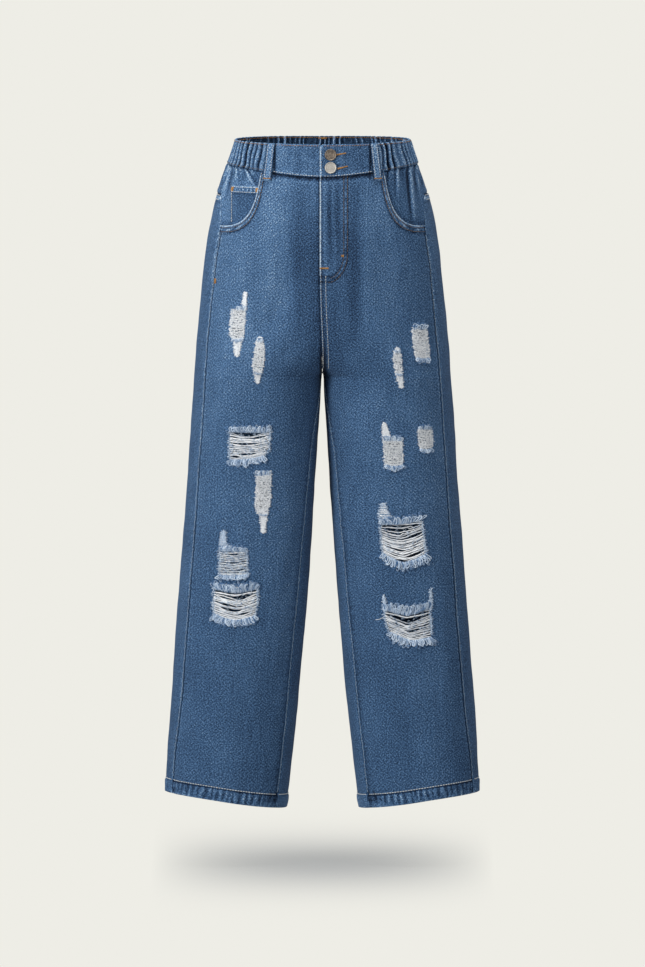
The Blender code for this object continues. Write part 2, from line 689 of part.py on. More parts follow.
def build_front(side, word):
    """Front panel with its rips cut out, the pocket facing behind it, and the coin pocket on
    that on the right or the fly facing on the left."""
    outline, facing, extra = front_outline(side), facing_outline(), coin_outline()
    if side > 0:
        extra = fly_outline()
    rips = [rip_shape(rip) for rip in RIPS if rip[1] == side]
    holes = [rip_hole(row) for row in rips]
    ends = float(side_seam(0.93)) + SEAM_TURN, float(inseam(0.95)) - SEAM_TURN
    hem_turns = np.linspace(ends[0] + 0.01, ends[1] - 0.01, 10)
    hem_lines = [hem_line(hem_turns, 0.0), hem_line(hem_turns, 0.0008)]
    loops = [outline, facing, extra] + holes
    flat, faces = layout(loops, (0.021, 0.030), hem_lines)
    wall(f"front_{word}", side, flat, pick(flat, faces, outline, holes), "denim", lift=hem_lift)
    wall(
        f"pocket_facing_{word}", side, flat, pick(flat, faces, facing), "denim",
        lift=lambda turn, drop: np.full(turn.shape, facing_lift(side)),
    )
    thick = DENIM if side > 0 else COIN_THICK
    wall(
        "fly_facing" if side > 0 else "coin_pocket", side, flat, pick(flat, faces, extra),
        "denim_worn", thick, lambda turn, drop: np.full(turn.shape, -DENIM - LAYER_GAP),
    )
    for row in rips:
        build_rip(row)


def back_pocket_outline():
    """A patch pocket with a pointed foot, square to the seat."""
    half_top, half_foot = BACK_POCKET_WIDTH / 2, BACK_POCKET_FOOT / 2
    foot = BACK_POCKET_TOP + BACK_POCKET_HEIGHT - BACK_POCKET_POINT
    across = np.linspace(-1, 1, 6)
    top = [(BACK_POCKET_X + half_top * a, BACK_POCKET_TOP) for a in across]
    steps = np.linspace(0, 1, 5)[1:-1]
    width = half_top + (half_foot - half_top) * steps
    drops = BACK_POCKET_TOP + (foot - BACK_POCKET_TOP) * steps
    far = [(BACK_POCKET_X + w, d) for w, d in zip(width, drops)]
    near = [(BACK_POCKET_X - w, d) for w, d in zip(width, drops)][::-1]
    point = [
        (BACK_POCKET_X + half_foot * a, foot + BACK_POCKET_POINT * (1 - abs(a)))
        for a in (1, 0.5, 0, -0.5, -1)
    ]
    x, drop = np.array(top + far + point + near).T
    return line(turn_at(x, drop, front=False), drop)


def back_outline():
    """The back panel: yoke seam, seat seam, inseam, hem and side seam."""
    whole = 2 * math.pi
    yoke = yoke_turns(YOKE_SIDE_DROP) + whole
    curve = YOKE_CENTRE_DROP + (CROTCH_DROP - YOKE_CENTRE_DROP) * np.linspace(0, 1, 14) ** (1 / 1.6)
    hem = np.linspace(float(inseam(0.97)) + SEAM_TURN, float(side_seam(0.95)) + whole - SEAM_TURN, 18)
    side_drops = np.concatenate([SIDE_DROPS[::-1], UPPER_SIDE_DROPS[:0:-1]])
    return np.vstack(
        [
            line(yoke, yoke_seam(yoke) + SEAM_GAP / 2),
            line(back_seam(curve[1:]), curve[1:] + SEAM_GAP / 2),
            line(inseam(INSEAM_DROPS) + SEAM_TURN, INSEAM_DROPS),
            line(hem, hem_edge(hem)),
            line(side_seam(side_drops) + whole - SEAM_TURN, side_drops),
        ]
    )


def build_back(side, word):
    """Back panel and the patch pocket sewn on it."""
    outline, pocket = back_outline(), back_pocket_outline()
    ends = float(inseam(0.95)) + SEAM_TURN, float(side_seam(0.93)) + 2 * math.pi - SEAM_TURN
    hem_turns = np.linspace(ends[0] + 0.01, ends[1] - 0.01, 18)
    hem_lines = [hem_line(hem_turns, 0.0), hem_line(hem_turns, 0.0008)]
    flat, faces = layout([outline, pocket], (0.026, 0.036), hem_lines)
    wall(f"back_{word}", side, flat, pick(flat, faces, outline), "denim", lift=hem_lift)
    wall(
        f"back_pocket_{word}", side, flat, pick(flat, faces, pocket), "denim", POCKET_THICK,
        lambda turn, drop: np.full(turn.shape, LAYER_GAP + POCKET_THICK),
    )


def gather_wave(turn, count, depth):
    """Gathers round the elasticated part: uneven waves that die out at the front loops."""
    edge = float(turn_at(LOOP_X, 0.02))
    reach = edge + math.pi / 2
    share = (turn + math.pi / 2) / reach
    phase = math.pi * count * share + 0.7 * np.sin(7 * turn) + 0.4 * np.sin(16 * turn + 1)
    uneven = 0.78 + 0.22 * np.sin(9 * turn + 2)
    return depth * uneven * np.cos(phase) * ease((1 - np.abs(share)) / 0.04)


def yoke_lift(turn, drop):
    """The gathers under the waistband run out down the yoke."""
    turn = np.where(turn > math.pi, turn - 2 * math.pi, turn)
    run = 1 - ease((drop - BAND_HEIGHT) / (0.9 * (yoke_seam(turn) - BAND_HEIGHT)))
    beside = ease((-turn - 0.02) / 0.25)
    return gather_wave(turn, YOKE_GATHERS, YOKE_GATHER_DEPTH) * run * beside


def build_yoke(side, word):
    """The yoke between the waistband and the back panel, finely gathered at its top."""
    upper = line(yoke_turns(BAND_HEIGHT), BAND_HEIGHT + SEAM_GAP)
    lower_turns = yoke_turns(YOKE_SIDE_DROP)
    lower = line(lower_turns, yoke_seam(lower_turns) - SEAM_GAP / 2)
    rows = [upper + (lower - upper) * t for t in YOKE_ROWS]
    outline = np.vstack([rows[0], rows[1][-1:], rows[2][-1:], rows[3][::-1], rows[2][:1], rows[1][:1]])
    flat, faces = layout([outline], (1.0, 1.0), rows[1:3])
    wall(f"yoke_{word}", side, flat, pick(flat, faces, outline), "denim", lift=yoke_lift)


def build_band_front(side, word):
    """The flat front of the waistband. The left one laps to the fly edge and its top corner is
    rounded there."""
    start = float(front_seam(side, 0.02))
    end = float(turn_at(LOOP_X, 0.02)) + SEAM_TURN
    turns = np.linspace(start, end, 9)
    top = line(turns, band_top(turns))
    foot = line(turns[::-1], waist_seam(turns[::-1]))
    if side > 0:
        swing = np.linspace(0, math.pi / 2, 5)
        corner = top[0] + BAND_CORNER * np.stack([np.sin(swing) - 1, 1 - np.cos(swing)], axis=-1)
        top = np.vstack([corner[::-1], top[2:]])
    outline = np.vstack([top, foot])
    flat, faces = layout([outline], (0.014, 0.016))
    wall(
        f"waistband_front_{word}", side, flat, pick(flat, faces, outline), "denim", BAND_THICK,
        lambda turn, drop: np.full(turn.shape, BAND_RISE),
    )


def build_band_elastic():
    """The elasticated waistband from the left front loop round the back to the right one. Its
    turn runs on past the seat seam to the other side."""
    start = float(turn_at(LOOP_X, 0.02)) - SEAM_TURN
    end = -math.pi - start
    turns = np.linspace(start, end, 4 * GATHERS + 1)
    own = np.where(turns < -math.pi / 2, -math.pi - turns, turns)
    top, foot = line(turns, band_top(own)), line(turns, waist_seam(own))
    middle = (top + foot) / 2
    outline = np.vstack([top, middle[-1:], foot[::-1], middle[:1]])
    flat, faces = layout([outline], (1.0, 1.0), [middle])

    def lift(turn, drop):
        return BAND_RISE + gather_wave(turn, GATHERS, GATHER_DEPTH)

    wall(
        "waistband_elastic", 1, flat, pick(flat, faces, outline), "denim", BAND_THICK, lift
    )


def build_loop(name, side, turn_middle, on_gathers):
    """A belt loop: a flat strip from the waistband's top edge to a little below it, standing off
    the band between its two ends."""
    half = LOOP_WIDTH / 2 / float(np.linalg.norm(bare_skin(turn_middle, 0.03)[:2]))
    covered = np.linspace(turn_middle - half, turn_middle + half, 21)
    seat, under = BAND_RISE, 0
    if on_gathers:
        seat = BAND_RISE + np.max(gather_wave(covered, GATHERS, GATHER_DEPTH))
        under = max(np.max(gather_wave(covered, YOKE_GATHERS, YOKE_GATHER_DEPTH)), 0)
    foot_start = float(waist_seam(turn_middle))
    drops = np.array([0.0, 0.005, 0.010, 0.020, 0.031]) * foot_start / 0.039
    drops = np.concatenate([drops, foot_start + np.array([0.0, 0.004, 0.008, LOOP_PAST_BAND])])
    drops[0] = float(band_top(turn_middle)) + 0.0005
    profile = seat + LAYER_GAP + LOOP_STAND_OFF * np.array([0.05, 0.2, 0.8, 1, 1, 0.7, 0.3, 0, 0])
    profile[-2:] = under + LAYER_GAP
    near, far = line(turn_middle + half, drops), line(turn_middle - half, drops)
    outline = np.vstack([near, far[::-1]])
    rungs = [np.vstack([a, b]) for a, b in zip(near[1:-1], far[1:-1])]
    flat, faces = layout([outline], (1.0, 1.0), rungs)
    wall(
        name, side, flat, pick(flat, faces, outline), "denim_worn", LOOP_THICK,
        lambda turn, drop: np.interp(drop, drops, profile) + LOOP_THICK,
    )


def build_button(name, drop, colour):
    """A turned shank button: a short shank under a cap with a raised rim."""
    r = BUTTON_RADIUS
    profile = (
        (0.34 * r, 0.0), (0.34 * r, 0.0010), (0.90 * r, 0.0012), (r, 0.0020),
        (0.98 * r, 0.0030), (0.88 * r, 0.0034), (0.78 * r, 0.0029), (0.40 * r, 0.0027),
    )
    swing = np.linspace(0, 2 * math.pi, BUTTON_SEGMENTS, endpoint=False)
    rings = [
        np.stack([radius * np.cos(swing), radius * np.sin(swing), np.full(swing.shape, h)], axis=-1)
        for radius, h in profile
    ]
    points = np.vstack(rings + [[(0, 0, 0)], [(0, 0, profile[-1][1])]])
    n, last = BUTTON_SEGMENTS, len(profile) - 1
    faces = []
    for i in range(n):
        j = (i + 1) % n
        for k in range(last):
            a, b = k * n + i, k * n + j
            faces += [(a, b, b + n), (a, b + n, a + n)]
        faces += [(len(points) - 2, j, i), (len(points) - 1, last * n + i, last * n + j)]
    obj = make_object(name, points, np.array(faces), colour)
    turn = float(turn_at(BUTTON_X, drop))
    seat = Vector(skin(1, turn, drop, BAND_RISE + LAYER_GAP))
    out = Vector(skin(1, turn, drop, 1.0)) - Vector(skin(1, turn, drop, 0.0))
    turned = out.normalized().to_track_quat("Z", "Y").to_matrix().to_4x4()
    obj.matrix_world = Matrix.Translation(seat) @ turned
    return obj


for old in list(bpy.data.objects):
    bpy.data.objects.remove(old)
MATERIALS = make_materials()

for side, word in ((1, "left"), (-1, "right")):
    build_front(side, word)
    build_back(side, word)
    build_yoke(side, word)
    build_band_front(side, word)
    build_loop(f"belt_loop_front_{word}", side, float(turn_at(LOOP_X + 0.001, 0.03)), False)
    back_turn = float(turn_at(BACK_LOOP_X, 0.03, front=False)) - 2 * math.pi
    build_loop(f"belt_loop_back_{word}", side, back_turn, True)
build_band_elastic()
build_loop("belt_loop_centre", 1, -math.pi / 2, True)
build_button("button_upper", BUTTON_DROPS["button_upper"], "bronze")
build_button("button_lower", BUTTON_DROPS["button_lower"], "nickel")
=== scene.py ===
"""Looks of the ripped jeans: stone-washed denim panels with their seams, gathers and stitching,
white weft yarns and looped frays in the rips, and turned metal buttons.

Every piece lies on one skin, the outer face of the cloth. A place on it has two numbers: turn,
the angle round one leg from its outer side by the front (90 degrees) and the inner side to the
back (270), and drop, the height below the waistband's top edge. Sizes are metres.
"""

import math
from functools import partial

import bpy
import numpy as np
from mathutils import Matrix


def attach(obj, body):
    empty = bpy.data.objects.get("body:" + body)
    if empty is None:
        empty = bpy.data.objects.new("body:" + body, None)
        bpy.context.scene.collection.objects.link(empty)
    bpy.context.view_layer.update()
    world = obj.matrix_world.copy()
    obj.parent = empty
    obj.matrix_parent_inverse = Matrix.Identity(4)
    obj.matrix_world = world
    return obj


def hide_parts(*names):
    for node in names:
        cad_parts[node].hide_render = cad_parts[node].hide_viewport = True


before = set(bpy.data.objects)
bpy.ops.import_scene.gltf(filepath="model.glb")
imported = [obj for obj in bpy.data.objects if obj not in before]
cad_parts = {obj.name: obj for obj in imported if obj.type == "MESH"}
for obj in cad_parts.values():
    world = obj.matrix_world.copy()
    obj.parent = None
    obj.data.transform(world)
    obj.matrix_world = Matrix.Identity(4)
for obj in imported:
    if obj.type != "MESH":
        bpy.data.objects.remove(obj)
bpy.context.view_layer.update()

# The camera looks down a little from far away, and its picture is as wide and tall as the photo
PHOTO_HEIGHT = 967
METRES_PER_PIXEL = 0.001456
CAMERA_RISE = math.radians(4.4)
CAMERA_DISTANCE = 40.0
CAMERA_AIM_Z = -0.4875
FLOOR_Z = -1.043
SENSOR = 36.0
BACKGROUND = (0.855, 0.847, 0.791)
WORLD_LIGHT = 0.36
# Area lamps: place, aim, width and height, and power
LAMPS = (
    ("key", (-3.0, -2.5, 0.5), (0, 0, -0.4), (1.2, 1.6), 112.0),
    ("fill", (1.8, -4.0, 0.2), (0, 0, -0.5), (1.6, 2.2), 30.0),
    ("overhead", (0.0, -0.4, 2.2), (0, 0, -0.4), (1.8, 1.4), 46.0),
)
# The painted shadow on the floor, which glows with its own colour: its colour, and how far it reaches in
# depth and to each side
PAINTED_FLOOR_SHADOW_COLOUR = (0.385, 0.392, 0.385)
FLOOR_SHADE_DEEP = 0.412
FLOOR_SHADE_WIDE = 0.250

# The worn form: its top edge, the crotch, the hems, how square the sections are, and how the
# two legs run together above the crotch
TOP = 0.020
CROTCH_DROP = 0.346
HEM_OUTER_DROP = 0.955
HEM_INNER_DROP = 0.979
HEM_HEIGHT = 0.019
ROUNDNESS = 2.25
FORK_HEIGHT = 0.160
FORK_SHARPNESS = 2.5
SEAM_GAP = 0.0003
DENIM = 0.0016
# Mean radius of a leg, which makes a length of a turn, and the line that the weave follows
GIRTH = 0.100
GRAIN_X = 0.0765
# Side seams and inseams: how far in from the outline they run
SIDE_SEAM_INSET = 0.0150
SIDE_SEAM_HEM_INSET = 0.0090
INSEAM_INSET = 0.0160
INSEAM_EASE = 0.140
# The fly: how far the front seam shifts, and the J of its stitching
FLY_SHIFT = 0.0042
FLY_NEAR = 0.0065
FLY_FAR = 0.0385
FLY_BEND_DROP = 0.164
FLY_FOOT_DROP = 0.2090
# The waistband, its belt loops and its gathers
BAND_HEIGHT = 0.0405
BAND_FRONT_DEEPER = 0.0145
TOP_SIDE_DIP = 0.005
TOP_FRONT_DIP = 0.007
TOP_BACK_DIP = 0.0064
BAND_RISE = 0.0008
BAND_THICK = 0.0030
BAND_CORNER = 0.006
BAND_RADIUS = 0.092
LOOP_X = 0.0745
LOOP_HALF = 0.0056
# Where a belt loop's height changes, in shares of the waist seam's drop, and its heights from its
# top to its foot
LOOP_STOPS = np.array([0.005, 0.010, 0.020, 0.031]) / 0.039
LOOP_HEIGHTS = 0.0022 * np.array([0.15, 0.3, 0.8, 1, 1, 0.7, 0.35, 0, 0])
GATHERS = 62
# Pocket mouths: where one starts on the waist seam, how deep it goes, and its mean size
MOUTH_X = 0.0885
MOUTH_BOTTOM = 0.1275
MOUTH_SQUARENESS = 3.0
MOUTH_SIZE = 0.068
YOKE_SIDE_DROP = 0.083
YOKE_CENTRE_DROP = 0.112
# Half the opening between two panels as a turn, and how far beside it the felled edge is sewn
SEAM_TURN = 0.0021
FELL_TURN = 0.01
# Stitches: a long one, the gap to the next, its thickness, and a row's distance from an edge
STITCH_LENGTH = 0.0030
STITCH_GAP = 0.0010
STITCH_RADIUS = 0.00040
STITCH_INSET = 0.0022
HEM_STITCH_RADIUS = 0.0006
SEAM_STITCH_RADIUS = 0.00034
# Distances from a seam at which the columns and rows of a panel lie close together
SEAM_STEPS = np.array([0, 0.0007, 0.0016, 0.0030, 0.0050])

# Yarns and threads: sides of each tube, spacing of the white yarns, width and thickness of a
# looped end, and the area that one loose fibre covers
TUBE_SIDES = 4
YARN_PITCH = 0.00165
PETAL_WIDTH = 0.0034
PETAL_YARN = 0.00074
FIBRE_AREA = 2.0e-6
BUTTON_RADIUS = 0.0086
BUTTON_X = 0.0117
BUTTON_SIDES = 64
# Turned profiles of the buttons: share of the radius, and height over the band
BUTTON_EDGE = (
    (0.34, 0.0), (0.34, 0.0010), (0.86, 0.0011), (0.96, 0.0015), (1.0, 0.0022), (0.99, 0.0028),
    (0.95, 0.0032),
)
RINGED_FACE = (
    (0.90, 0.0033), (0.86, 0.0030), (0.82, 0.0026), (0.66, 0.0026), (0.62, 0.0028), (0.58, 0.0028),
    (0.54, 0.0025), (0.30, 0.0027), (0.02, 0.0028),
)
DOMED_FACE = (
    (0.89, 0.0033), (0.84, 0.0029), (0.78, 0.0027), (0.50, 0.0030), (0.25, 0.0031), (0.02, 0.0031),
)

# Half sections of the garment: drop, half width to the outer side, half the gap between the legs,
# and the depth of the front and the back from the side seams' plane
SECTIONS = np.array(
    (
        (0.000, 0.1246, 0.00015, 0.089, 0.093),
        (0.018, 0.1300, 0.00015, 0.091, 0.096),
        (0.039, 0.1374, 0.00015, 0.093, 0.101),
        (0.061, 0.1463, 0.00015, 0.097, 0.107),
        (0.091, 0.1555, 0.00015, 0.101, 0.114),
        (0.120, 0.1620, 0.00015, 0.104, 0.120),
        (0.164, 0.1694, 0.00015, 0.108, 0.128),
        (0.236, 0.1774, 0.00015, 0.110, 0.132),
        (0.310, 0.1840, 0.00015, 0.108, 0.127),
        (0.353, 0.1869, 0.0014, 0.104, 0.118),
        (0.441, 0.1929, 0.0068, 0.098, 0.105),
        (0.528, 0.1988, 0.0122, 0.093, 0.097),
        (0.616, 0.2053, 0.0181, 0.089, 0.091),
        (0.704, 0.2119, 0.0246, 0.086, 0.086),
        (0.791, 0.2187, 0.0324, 0.083, 0.082),
        (0.879, 0.2244, 0.0414, 0.079, 0.079),
        (0.945, 0.2281, 0.0486, 0.077, 0.077),
        (0.990, 0.2295, 0.0545, 0.076, 0.076),
    )
)

# Large soft folds: turn and half width in degrees, start and end drop, and how far they stand
# out, or in if negative
FOLD_COLUMNS = ("side", "turn", "start", "end", "spread", "height")
FOLDS = (
    (-1, 66, 0.07, 0.34, 7.0, -0.0022),
    (-1, 52, 0.05, 0.30, 6.0, 0.0016),
    (-1, 128, 0.42, 0.70, 13.0, 0.0022),
    (-1, 62, 0.50, 0.86, 12.0, -0.0020),
    (1, 70, 0.07, 0.30, 6.0, -0.0018),
    (1, 58, 0.06, 0.32, 7.0, 0.0018),
    (1, 48, 0.16, 0.40, 8.0, -0.0016),
    (1, 124, 0.46, 0.80, 12.0, 0.0020),
    (1, 66, 0.60, 0.90, 11.0, -0.0018),
    (-1, 232, 0.30, 0.46, 12.0, -0.0035),
    (-1, 262, 0.34, 0.56, 11.0, 0.0030),
    (-1, 296, 0.50, 0.84, 13.0, -0.0028),
    (1, 236, 0.31, 0.48, 12.0, -0.0035),
    (1, 266, 0.33, 0.54, 11.0, 0.0030),
    (1, 300, 0.46, 0.80, 13.0, -0.0028),
)

# Rips: the cut's top and foot; how far the upper edge, the yarns under it and the yarns at the
# foot sag in the middle and fall to the far side; where across they hang lowest, how sharply,
# and over what share of the height the sag builds up; the length of the frays above and below;
# how thickly short fibres cover it; and the near and far edge at each drop
RIP_COLUMNS = (
    "side", "top", "foot", "brow", "yarn", "hem", "peak", "sharp", "slack", "loops", "fuzz", "rows",
)
RIPS = {
    "rip_right_hip": (
        -1, 0.247, 0.290, (0, 0), (0.001, 0.002), (0.001, 0.002), 0.5, 2.0, 0.1, (0.008, 0.006), 2.2,
        ((0.222, 0.1110, 0.1118), (0.230, 0.1110, 0.1140), (0.246, 0.1118, 0.1155), (0.248, 0.1125, 0.1310),
         (0.285, 0.1150, 0.1335), (0.292, 0.1185, 0.1275), (0.314, 0.1220, 0.1255)),
    ),
    "rip_right_thigh": (
        -1, 0.293, 0.338, (0, 0), (0.001, -0.002), (0.001, -0.002), 0.5, 2.0, 0.1, (0.007, 0.004), 2.2,
        ((0.286, 0.0900, 0.0930), (0.300, 0.0850, 0.0965), (0.326, 0.0865, 0.1005), (0.341, 0.0905, 0.0980),
         (0.353, 0.0935, 0.0950)),
    ),
    "rip_right_knee": (
        -1, 0.4240, 0.4630, (0.0010, 0.000), (0.0040, 0.002), (0.0025, 0.006),
        0.45, 2.0, 0.05, (0.0125, 0.0130), 0.12,
        ((0.422, 0.0770, 0.1345), (0.450, 0.0780, 0.1345), (0.463, 0.0860, 0.1340)),
    ),
    "rip_right_under_knee": (
        -1, 0.488, 0.545, (0, 0.001), (0.001, 0.001), (0.001, 0.000), 0.5, 2.0, 0.1, (0.011, 0.004), 2.4,
        ((0.482, 0.0765, 0.0945), (0.510, 0.0765, 0.0960), (0.530, 0.0775, 0.0965), (0.541, 0.0800, 0.0955),
         (0.547, 0.0815, 0.0895), (0.560, 0.0835, 0.0885), (0.572, 0.0855, 0.0873)),
    ),
    "rip_right_shin": (
        -1, 0.599, 0.634, (0.000, 0.000), (0.0020, 0.002), (0.0020, 0.002),
        0.5, 2.0, 0.1, (0.009, 0.009), 0.6,
        ((0.571, 0.1432, 0.1448), (0.588, 0.1410, 0.1480), (0.594, 0.1320, 0.1490), (0.598, 0.1110, 0.1495),
         (0.634, 0.1090, 0.1500)),
    ),
    "rip_right_calf": (
        -1, 0.654, 0.693, (0.0060, 0.001), (0.0095, 0.002), (0.0080, -0.002),
        0.48, 1.35, 0.22, (0.0125, 0.0140), 0.12,
        ((0.652, 0.0950, 0.1575), (0.675, 0.0945, 0.1585), (0.693, 0.0985, 0.1580)),
    ),
    "rip_left_thigh": (
        1, 0.309, 0.340, (0, 0), (0.001, 0.002), (0.001, 0.002), 0.5, 2.0, 0.1, (0.006, 0.004), 2.2,
        ((0.302, 0.1072, 0.1095), (0.312, 0.1035, 0.1125), (0.330, 0.1050, 0.1140), (0.345, 0.1090, 0.1150),
         (0.360, 0.1132, 0.1150)),
    ),
    "rip_left_hip": (
        1, 0.276, 0.318, (0.000, 0.001), (0.002, 0.001), (0.002, 0.002), 0.5, 2.0, 0.1, (0.010, 0.009), 1.8,
        ((0.275, 0.1325, 0.1510), (0.300, 0.1340, 0.1535), (0.318, 0.1372, 0.1545)),
    ),
    "rip_left_knee": (
        1, 0.437, 0.473, (0, 0), (0.002, 0.001), (0.003, 0.001), 0.5, 2.0, 0.1, (0.010, 0.009), 1.6,
        ((0.412, 0.0885, 0.0900), (0.424, 0.0880, 0.0945), (0.433, 0.0885, 0.0985), (0.436, 0.0895, 0.1145),
         (0.473, 0.0915, 0.1160)),
    ),
    "rip_left_knee_outer": (
        1, 0.421, 0.450, (0, 0.002), (0.001, 0.002), (0.002, 0.001), 0.5, 2.0, 0.1, (0.008, 0.008), 1.8,
        ((0.417, 0.1420, 0.1530), (0.424, 0.1400, 0.1575), (0.442, 0.1410, 0.1590), (0.450, 0.1430, 0.1580)),
    ),
    "rip_left_shin": (
        1, 0.556, 0.603, (0.0030, -0.006), (0.0070, -0.007), (0.0130, 0.002),
        0.48, 1.5, 0.30, (0.0120, 0.0160), 0.12,
        ((0.529, 0.0870, 0.0895), (0.540, 0.0830, 0.0945), (0.552, 0.0830, 0.1000), (0.556, 0.0840, 0.1440),
         (0.603, 0.0880, 0.1500)),
    ),
    "rip_left_calf": (
        1, 0.684, 0.722, (0.0090, -0.001), (0.0130, -0.001), (0.0090, 0.008),
        0.50, 1.15, 0.26, (0.0125, 0.0140), 0.12,
        ((0.683, 0.0905, 0.1560), (0.700, 0.0920, 0.1575), (0.722, 0.0990, 0.1585)),
    ),
}
RIPS = {name: dict(zip(RIP_COLUMNS, row)) for name, row in RIPS.items()}

# Narrow worn tails beside a rip: drop and x of the tip, and drop, near and far edge of the foot
TAIL_COLUMNS = ("side", "tip", "tip_x", "foot", "near", "far")
TAILS = (
    (1, 0.664, 0.0895, 0.686, 0.0885, 0.0935),
    (1, 0.653, 0.1578, 0.684, 0.1530, 0.1590),
)

# Slits between the yarns of a rip: each one's start and end across it from the near edge and
# its level from the top, as shares, and the height that stands open
GAPS = {
    "rip_right_knee": (
        (0.20, 0.90, 0.03, 0.0060), (0.12, 0.50, 0.17, 0.0022), (0.30, 0.92, 0.40, 0.0022),
        (0.30, 0.78, 0.78, 0.0026), (0.70, 0.96, 0.88, 0.0030),
    ),
    "rip_right_shin": ((0.30, 0.60, 0.12, 0.0018), (0.28, 0.72, 0.46, 0.0018), (0.1, 0.4, 0.75, 0.0012)),
    "rip_right_calf": (
        (0.12, 0.50, 0.14, 0.0058), (0.44, 0.96, 0.20, 0.0030), (0.50, 0.94, 0.44, 0.0032),
        (0.34, 0.88, 0.62, 0.0036), (0.10, 0.40, 0.42, 0.0014), (0.14, 0.5, 0.80, 0.0014),
    ),
    "rip_left_shin": (
        (0.10, 0.52, 0.13, 0.0044), (0.46, 0.95, 0.10, 0.0026), (0.10, 0.60, 0.22, 0.0024),
        (0.60, 0.97, 0.34, 0.0034), (0.12, 0.56, 0.66, 0.0022), (0.30, 0.60, 0.97, 0.0048),
        (0.58, 0.96, 0.86, 0.0036), (0.30, 0.80, 0.50, 0.0014),
    ),
    "rip_left_calf": (
        (0.00, 0.84, 0.16, 0.0036), (0.06, 0.62, 0.30, 0.0024), (0.36, 0.86, 0.58, 0.0030),
        (0.10, 0.44, 0.42, 0.0016), (0.5, 0.8, 0.86, 0.0012),
    ),
    "rip_left_hip": ((0.2, 0.7, 0.35, 0.0010), (0.3, 0.8, 0.7, 0.0010)),
    "rip_left_knee": ((0.2, 0.6, 0.3, 0.0010), (0.3, 0.8, 0.7, 0.0010)),
    "rip_left_knee_outer": ((0.2, 0.7, 0.5, 0.0010),),
}

# Sharp creases of the pocket facings: the line of each one's valley, its width and depth
CREASE_COLUMNS = ("side", "top_x", "top", "foot_x", "foot", "width", "depth")
CREASES = (
    (1, 0.1060, 0.046, 0.1075, 0.086, 0.0016, 0.0016),
    (1, 0.1240, 0.044, 0.1310, 0.126, 0.0022, 0.0024),
    (1, 0.0960, 0.046, 0.0950, 0.068, 0.0014, 0.0012),
    (1, 0.1350, 0.043, 0.1400, 0.090, 0.0016, 0.0013),
    (-1, 0.1110, 0.043, 0.0930, 0.074, 0.0018, 0.0020),
    (-1, 0.1240, 0.042, 0.1250, 0.066, 0.0016, 0.0012),
    (-1, 0.1330, 0.042, 0.1440, 0.090, 0.0018, 0.0014),
)

# Soft lighter and darker bands down the fronts: painted shade and light of the large soft folds, with some
# washing
FOLD_SHADE_AND_WASHING_COLUMNS = ("side", "x", "width", "top", "foot", "fade")
FOLD_SHADE_AND_WASHING_BANDS = (
    (-1, 0.010, 0.013, 0.04, 0.34, -0.75),
    (-1, 0.034, 0.014, 0.03, 0.30, -0.85),
    (-1, 0.040, 0.040, 0.32, 0.96, 0.42),
    (-1, 0.100, 0.030, 0.20, 0.44, 0.16),
    (-1, 0.076, 0.014, 0.04, 0.28, 0.10),
    (-1, 0.125, 0.030, 0.10, 0.40, 0.16),
    (-1, 0.098, 0.012, 0.08, 0.30, -0.15),
    (-1, 0.110, 0.022, 0.38, 0.80, 0.06),
    (1, 0.0115, 0.0045, 0.04, 0.20, -1.00),
    (1, 0.0230, 0.0045, 0.03, 0.20, -1.00),
    (1, 0.0460, 0.0110, 0.04, 0.32, -0.85),
    (1, 0.0170, 0.0160, 0.14, 0.36, -0.30),
    (1, 0.066, 0.010, 0.04, 0.26, 0.08),
    (1, 0.098, 0.014, 0.06, 0.36, 0.14),
    (1, 0.140, 0.018, 0.12, 0.40, 0.12),
    (1, 0.080, 0.030, 0.30, 0.60, 0.20),
    (1, 0.160, 0.030, 0.30, 1.00, 0.20),
)

RNG = np.random.default_rng(11)


def section(drop):
    """Centre, half width, front and back depth of one leg's section: smooth curves through the
    rows of SECTIONS, and above the crotch the two legs run into each other."""
    drop = np.asarray(drop, float)
    at = SECTIONS[:, 0]
    slope = np.gradient(SECTIONS[:, 1:], at, axis=0)
    i = np.clip(np.searchsorted(at, drop, side="right") - 1, 0, len(at) - 2)
    step = (at[i + 1] - at[i])[..., None]
    t = np.clip((drop - at[i])[..., None] / step, 0, 1)
    low, high = SECTIONS[i, 1:], SECTIONS[i + 1, 1:]
    value = (
        low * (1 + 2 * t) * (1 - t) ** 2
        + high * t * t * (3 - 2 * t)
        + step * t * (1 - t) * (slope[i] * (1 - t) - slope[i + 1] * t)
    )
    outer, inner, front, back = np.moveaxis(value, -1, 0)
    inner = np.maximum(inner, SEAM_GAP / 2)
    rise = np.clip((CROTCH_DROP - drop) / FORK_HEIGHT, 0, 1)
    share = (1 - rise) ** FORK_SHARPNESS
    half = np.where(drop <= CROTCH_DROP, outer / (1 + share), (outer - inner) / 2)
    return outer - half, half, front, back


def bare_skin(turn, drop):
    """The skin with no folds: each section is a rounded oval in polar form."""
    centre, half, front, back = section(drop)
    c, s = np.cos(turn), np.sin(turn)
    depth = np.where(s > 0, front, back)
    radius = ((np.abs(c) / half) ** ROUNDNESS + (np.abs(s) / depth) ** ROUNDNESS) ** (-1 / ROUNDNESS)
    return np.stack([centre + radius * c, -radius * s, TOP - drop + 0 * turn], axis=-1)


def ease(t):
    """0 to 1 with level ends."""
    t = np.clip(t, 0, 1)
    return t * t * (3 - 2 * t)


def bell(value, middle, width):
    """1 at the middle, falling off smoothly over a width."""
    return np.exp(-(((value - middle) / width) ** 2))


def ripple(u, v, length, seed):
    """Uneven soft waves about one length long: seven sines in turned directions, -1 to 1."""
    total = 0
    for i in range(7):
        way = 2.4 * i + seed
        pitch = length * (0.7 + 0.12 * i)
        total = total + np.sin(
            2 * math.pi * (u * math.cos(way) + v * math.sin(way)) / pitch + 1.7 * i * seed + i
        )
    return total / 3.6


